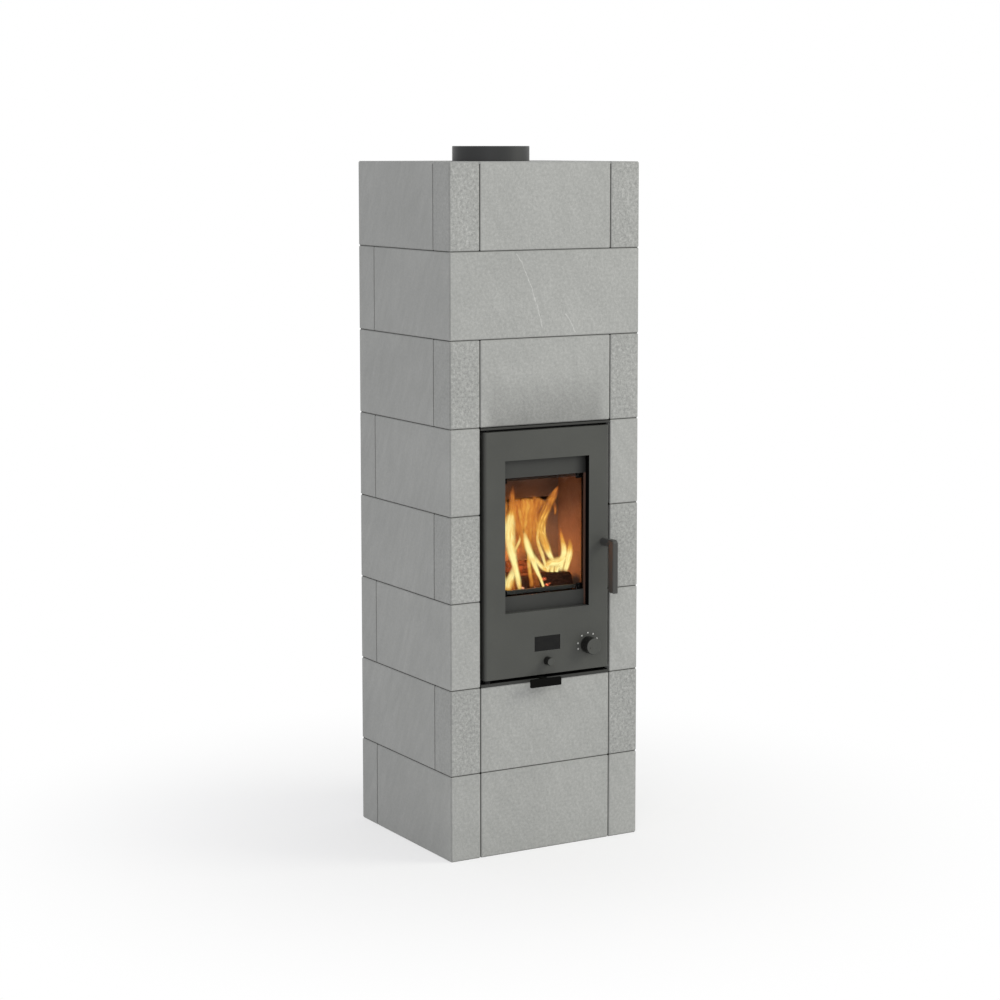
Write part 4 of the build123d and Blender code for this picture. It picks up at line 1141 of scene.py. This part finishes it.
def build_flames(bm):
    """Each flame is a closed blade of lens section.

    Across runs from edge to edge, and lane holds centimetres across and along it and its seed.
    Burn holds its heat, its density and how much shows between the fading root and tip."""
    across_layer = bm.verts.layers.float.new("across")
    lane_layer = bm.verts.layers.float_vector.new("lane")
    burn_layer = bm.verts.layers.float_vector.new("burn")
    for number, (veil, root_fade, tip_fade, line) in enumerate(FLAMES):
        seed = (number + 1) * FLAME_SEED_STEP
        gone = 0.0
        before = None
        rings = []
        for row in range(FLAME_ROWS + 1):
            share = row / FLAME_ROWS
            x, y, z, half, heat = smooth_point(line, share)
            ahead = smooth_point(line, min(1.0, share + FLAME_LOOK_AHEAD))
            behind = smooth_point(line, max(0.0, share - FLAME_LOOK_AHEAD))
            flow = Vector((ahead[0] - behind[0], 0.0, ahead[2] - behind[2])).normalized()
            across = Vector((flow.z, 0.0, -flow.x))
            here = Vector((x, y, z))
            gone += (here - before).length if before else 0.0
            before = here
            shown = min(1.0, share / root_fade) * min(1.0, (1 - share) / tip_fade)
            ring = []
            for turn in turns(FLAME_SIDES):
                out = across * (half * math.cos(turn))
                deep = Vector((0.0, half * FLAME_DEPTH_SHARE * math.sin(turn), 0.0))
                vert = bm.verts.new((here + out + deep) * MILLIMETRE)
                vert[across_layer] = math.cos(turn)
                vert[lane_layer] = (half * math.cos(turn) / 10, gone / 10, seed)
                vert[burn_layer] = (heat / 100, veil, shown)
                ring.append(vert)
            rings.append(ring)
        close_tube(bm, rings)


def add_pieces():
    """The pieces that Blender adds to the frame."""
    new_piece("dial_dots", build_dial_dots, make_dot_paint(), "door")
    cone = new_piece("rubber_cone", build_cone, bpy.data.materials["rubber"], "door")
    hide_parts("button_spring")
    squash_cone(cone)
    new_piece("logs", build_logs, make_char(), "stove")
    new_piece("ember_bed", build_embers, make_embers(), "stove")
    flames = new_piece("flames", build_flames, make_flame(), "stove")
    flames.visible_shadow = False


def make_world():
    """White to the camera and in reflections, a soft even grey for light."""
    world = bpy.data.worlds.new("studio")
    bpy.context.scene.world = world
    world.use_nodes = True
    tree = world.node_tree
    light = tree.nodes["Background"]
    light.inputs["Color"].default_value = opaque(AMBIENT_COLOUR)
    light.inputs["Strength"].default_value = AMBIENT_LEVEL
    white = tree.nodes.new("ShaderNodeBackground")
    white.inputs["Color"].default_value = opaque(WHITE)
    white.inputs["Strength"].default_value = 1.0
    blend = tree.nodes.new("ShaderNodeMixShader")
    tree.links.new(seen_ray(tree), blend.inputs[0])
    tree.links.new(light.outputs[0], blend.inputs[1])
    tree.links.new(white.outputs[0], blend.inputs[2])
    tree.links.new(blend.outputs[0], tree.nodes["World Output"].inputs["Surface"])


def seen_ray(tree):
    """1 for rays from the camera, from gloss and through glass."""
    path = tree.nodes.new("ShaderNodeLightPath")
    socket = path.outputs["Is Camera Ray"]
    for name in ("Is Glossy Ray", "Is Transmission Ray"):
        larger = tree.nodes.new("ShaderNodeMath")
        larger.operation = "MAXIMUM"
        tree.links.new(socket, larger.inputs[0])
        tree.links.new(path.outputs[name], larger.inputs[1])
        socket = larger.outputs[0]
    return socket


def make_floor():
    """A plain pale floor that keeps the stove's shadow and ends in white."""
    bm = bmesh.new()
    bmesh.ops.create_circle(bm, cap_ends=True, segments=96, radius=FLOOR_RADIUS)
    mesh = bpy.data.meshes.new("floor")
    bm.to_mesh(mesh)
    bm.free()
    floor = bpy.data.objects.new("floor", mesh)
    bpy.context.scene.collection.objects.link(floor)
    graph = Graph("floor")
    graph.surface(FLOOR_COLOUR, 0.9, gloss=0.0)
    white = graph.add("ShaderNodeEmission", {"Color": opaque(WHITE), "Strength": 1.0})
    distance = graph.arrow("LENGTH", graph.place())[1]
    whiteness = graph.span(distance, FLOOR_NEAR, FLOOR_FAR, FLOOR_WHITE_NEAR, 1.0, smooth=True)
    share = graph.product(seen_ray(graph.tree), whiteness)
    blend = graph.add("ShaderNodeMixShader", {0: share})
    graph.join(graph.shader.outputs[0], blend.inputs[1])
    graph.join(white.outputs[0], blend.inputs[2])
    graph.join(blend.outputs[0], graph.end.inputs["Surface"])
    mesh.materials.append(graph.material)


def add_light(name, kind, place, power, size, colour):
    """A soft lamp that looks at the stove."""
    data = bpy.data.lights.new(name, kind)
    data.energy = power
    data.color = colour
    if kind == "AREA":
        data.shape = "DISK"
        data.size = size
    else:
        data.shadow_soft_size = size
    lamp = bpy.data.objects.new(name, data)
    lamp.location = place
    aim = Vector(LIGHT_TARGET) - Vector(place)
    lamp.rotation_euler = aim.to_track_quat("-Z", "Y").to_euler()
    bpy.context.scene.collection.objects.link(lamp)


def make_lights():
    """Key from the right, a weak fill from the left, and the fire's own light."""
    for lamp in LAMPS:
        add_light(*lamp)


def make_camera():
    """The photograph's camera."""
    data = bpy.data.cameras.new("camera")
    data.sensor_width = CAMERA_SENSOR
    data.lens = CAMERA_LENS
    data.shift_x, data.shift_y = CAMERA_SHIFT
    camera = bpy.data.objects.new("camera", data)
    camera.location = CAMERA_PLACE
    camera.rotation_euler = (math.radians(90 - CAMERA_PITCH), 0.0, -math.radians(CAMERA_YAW))
    bpy.context.scene.collection.objects.link(camera)
    bpy.context.scene.camera = camera


bpy.context.scene.view_settings.view_transform = "Standard"
paint_stones()
paint_steel()
paint_rest()
add_pieces()
make_world()
make_floor()
make_lights()
make_camera()
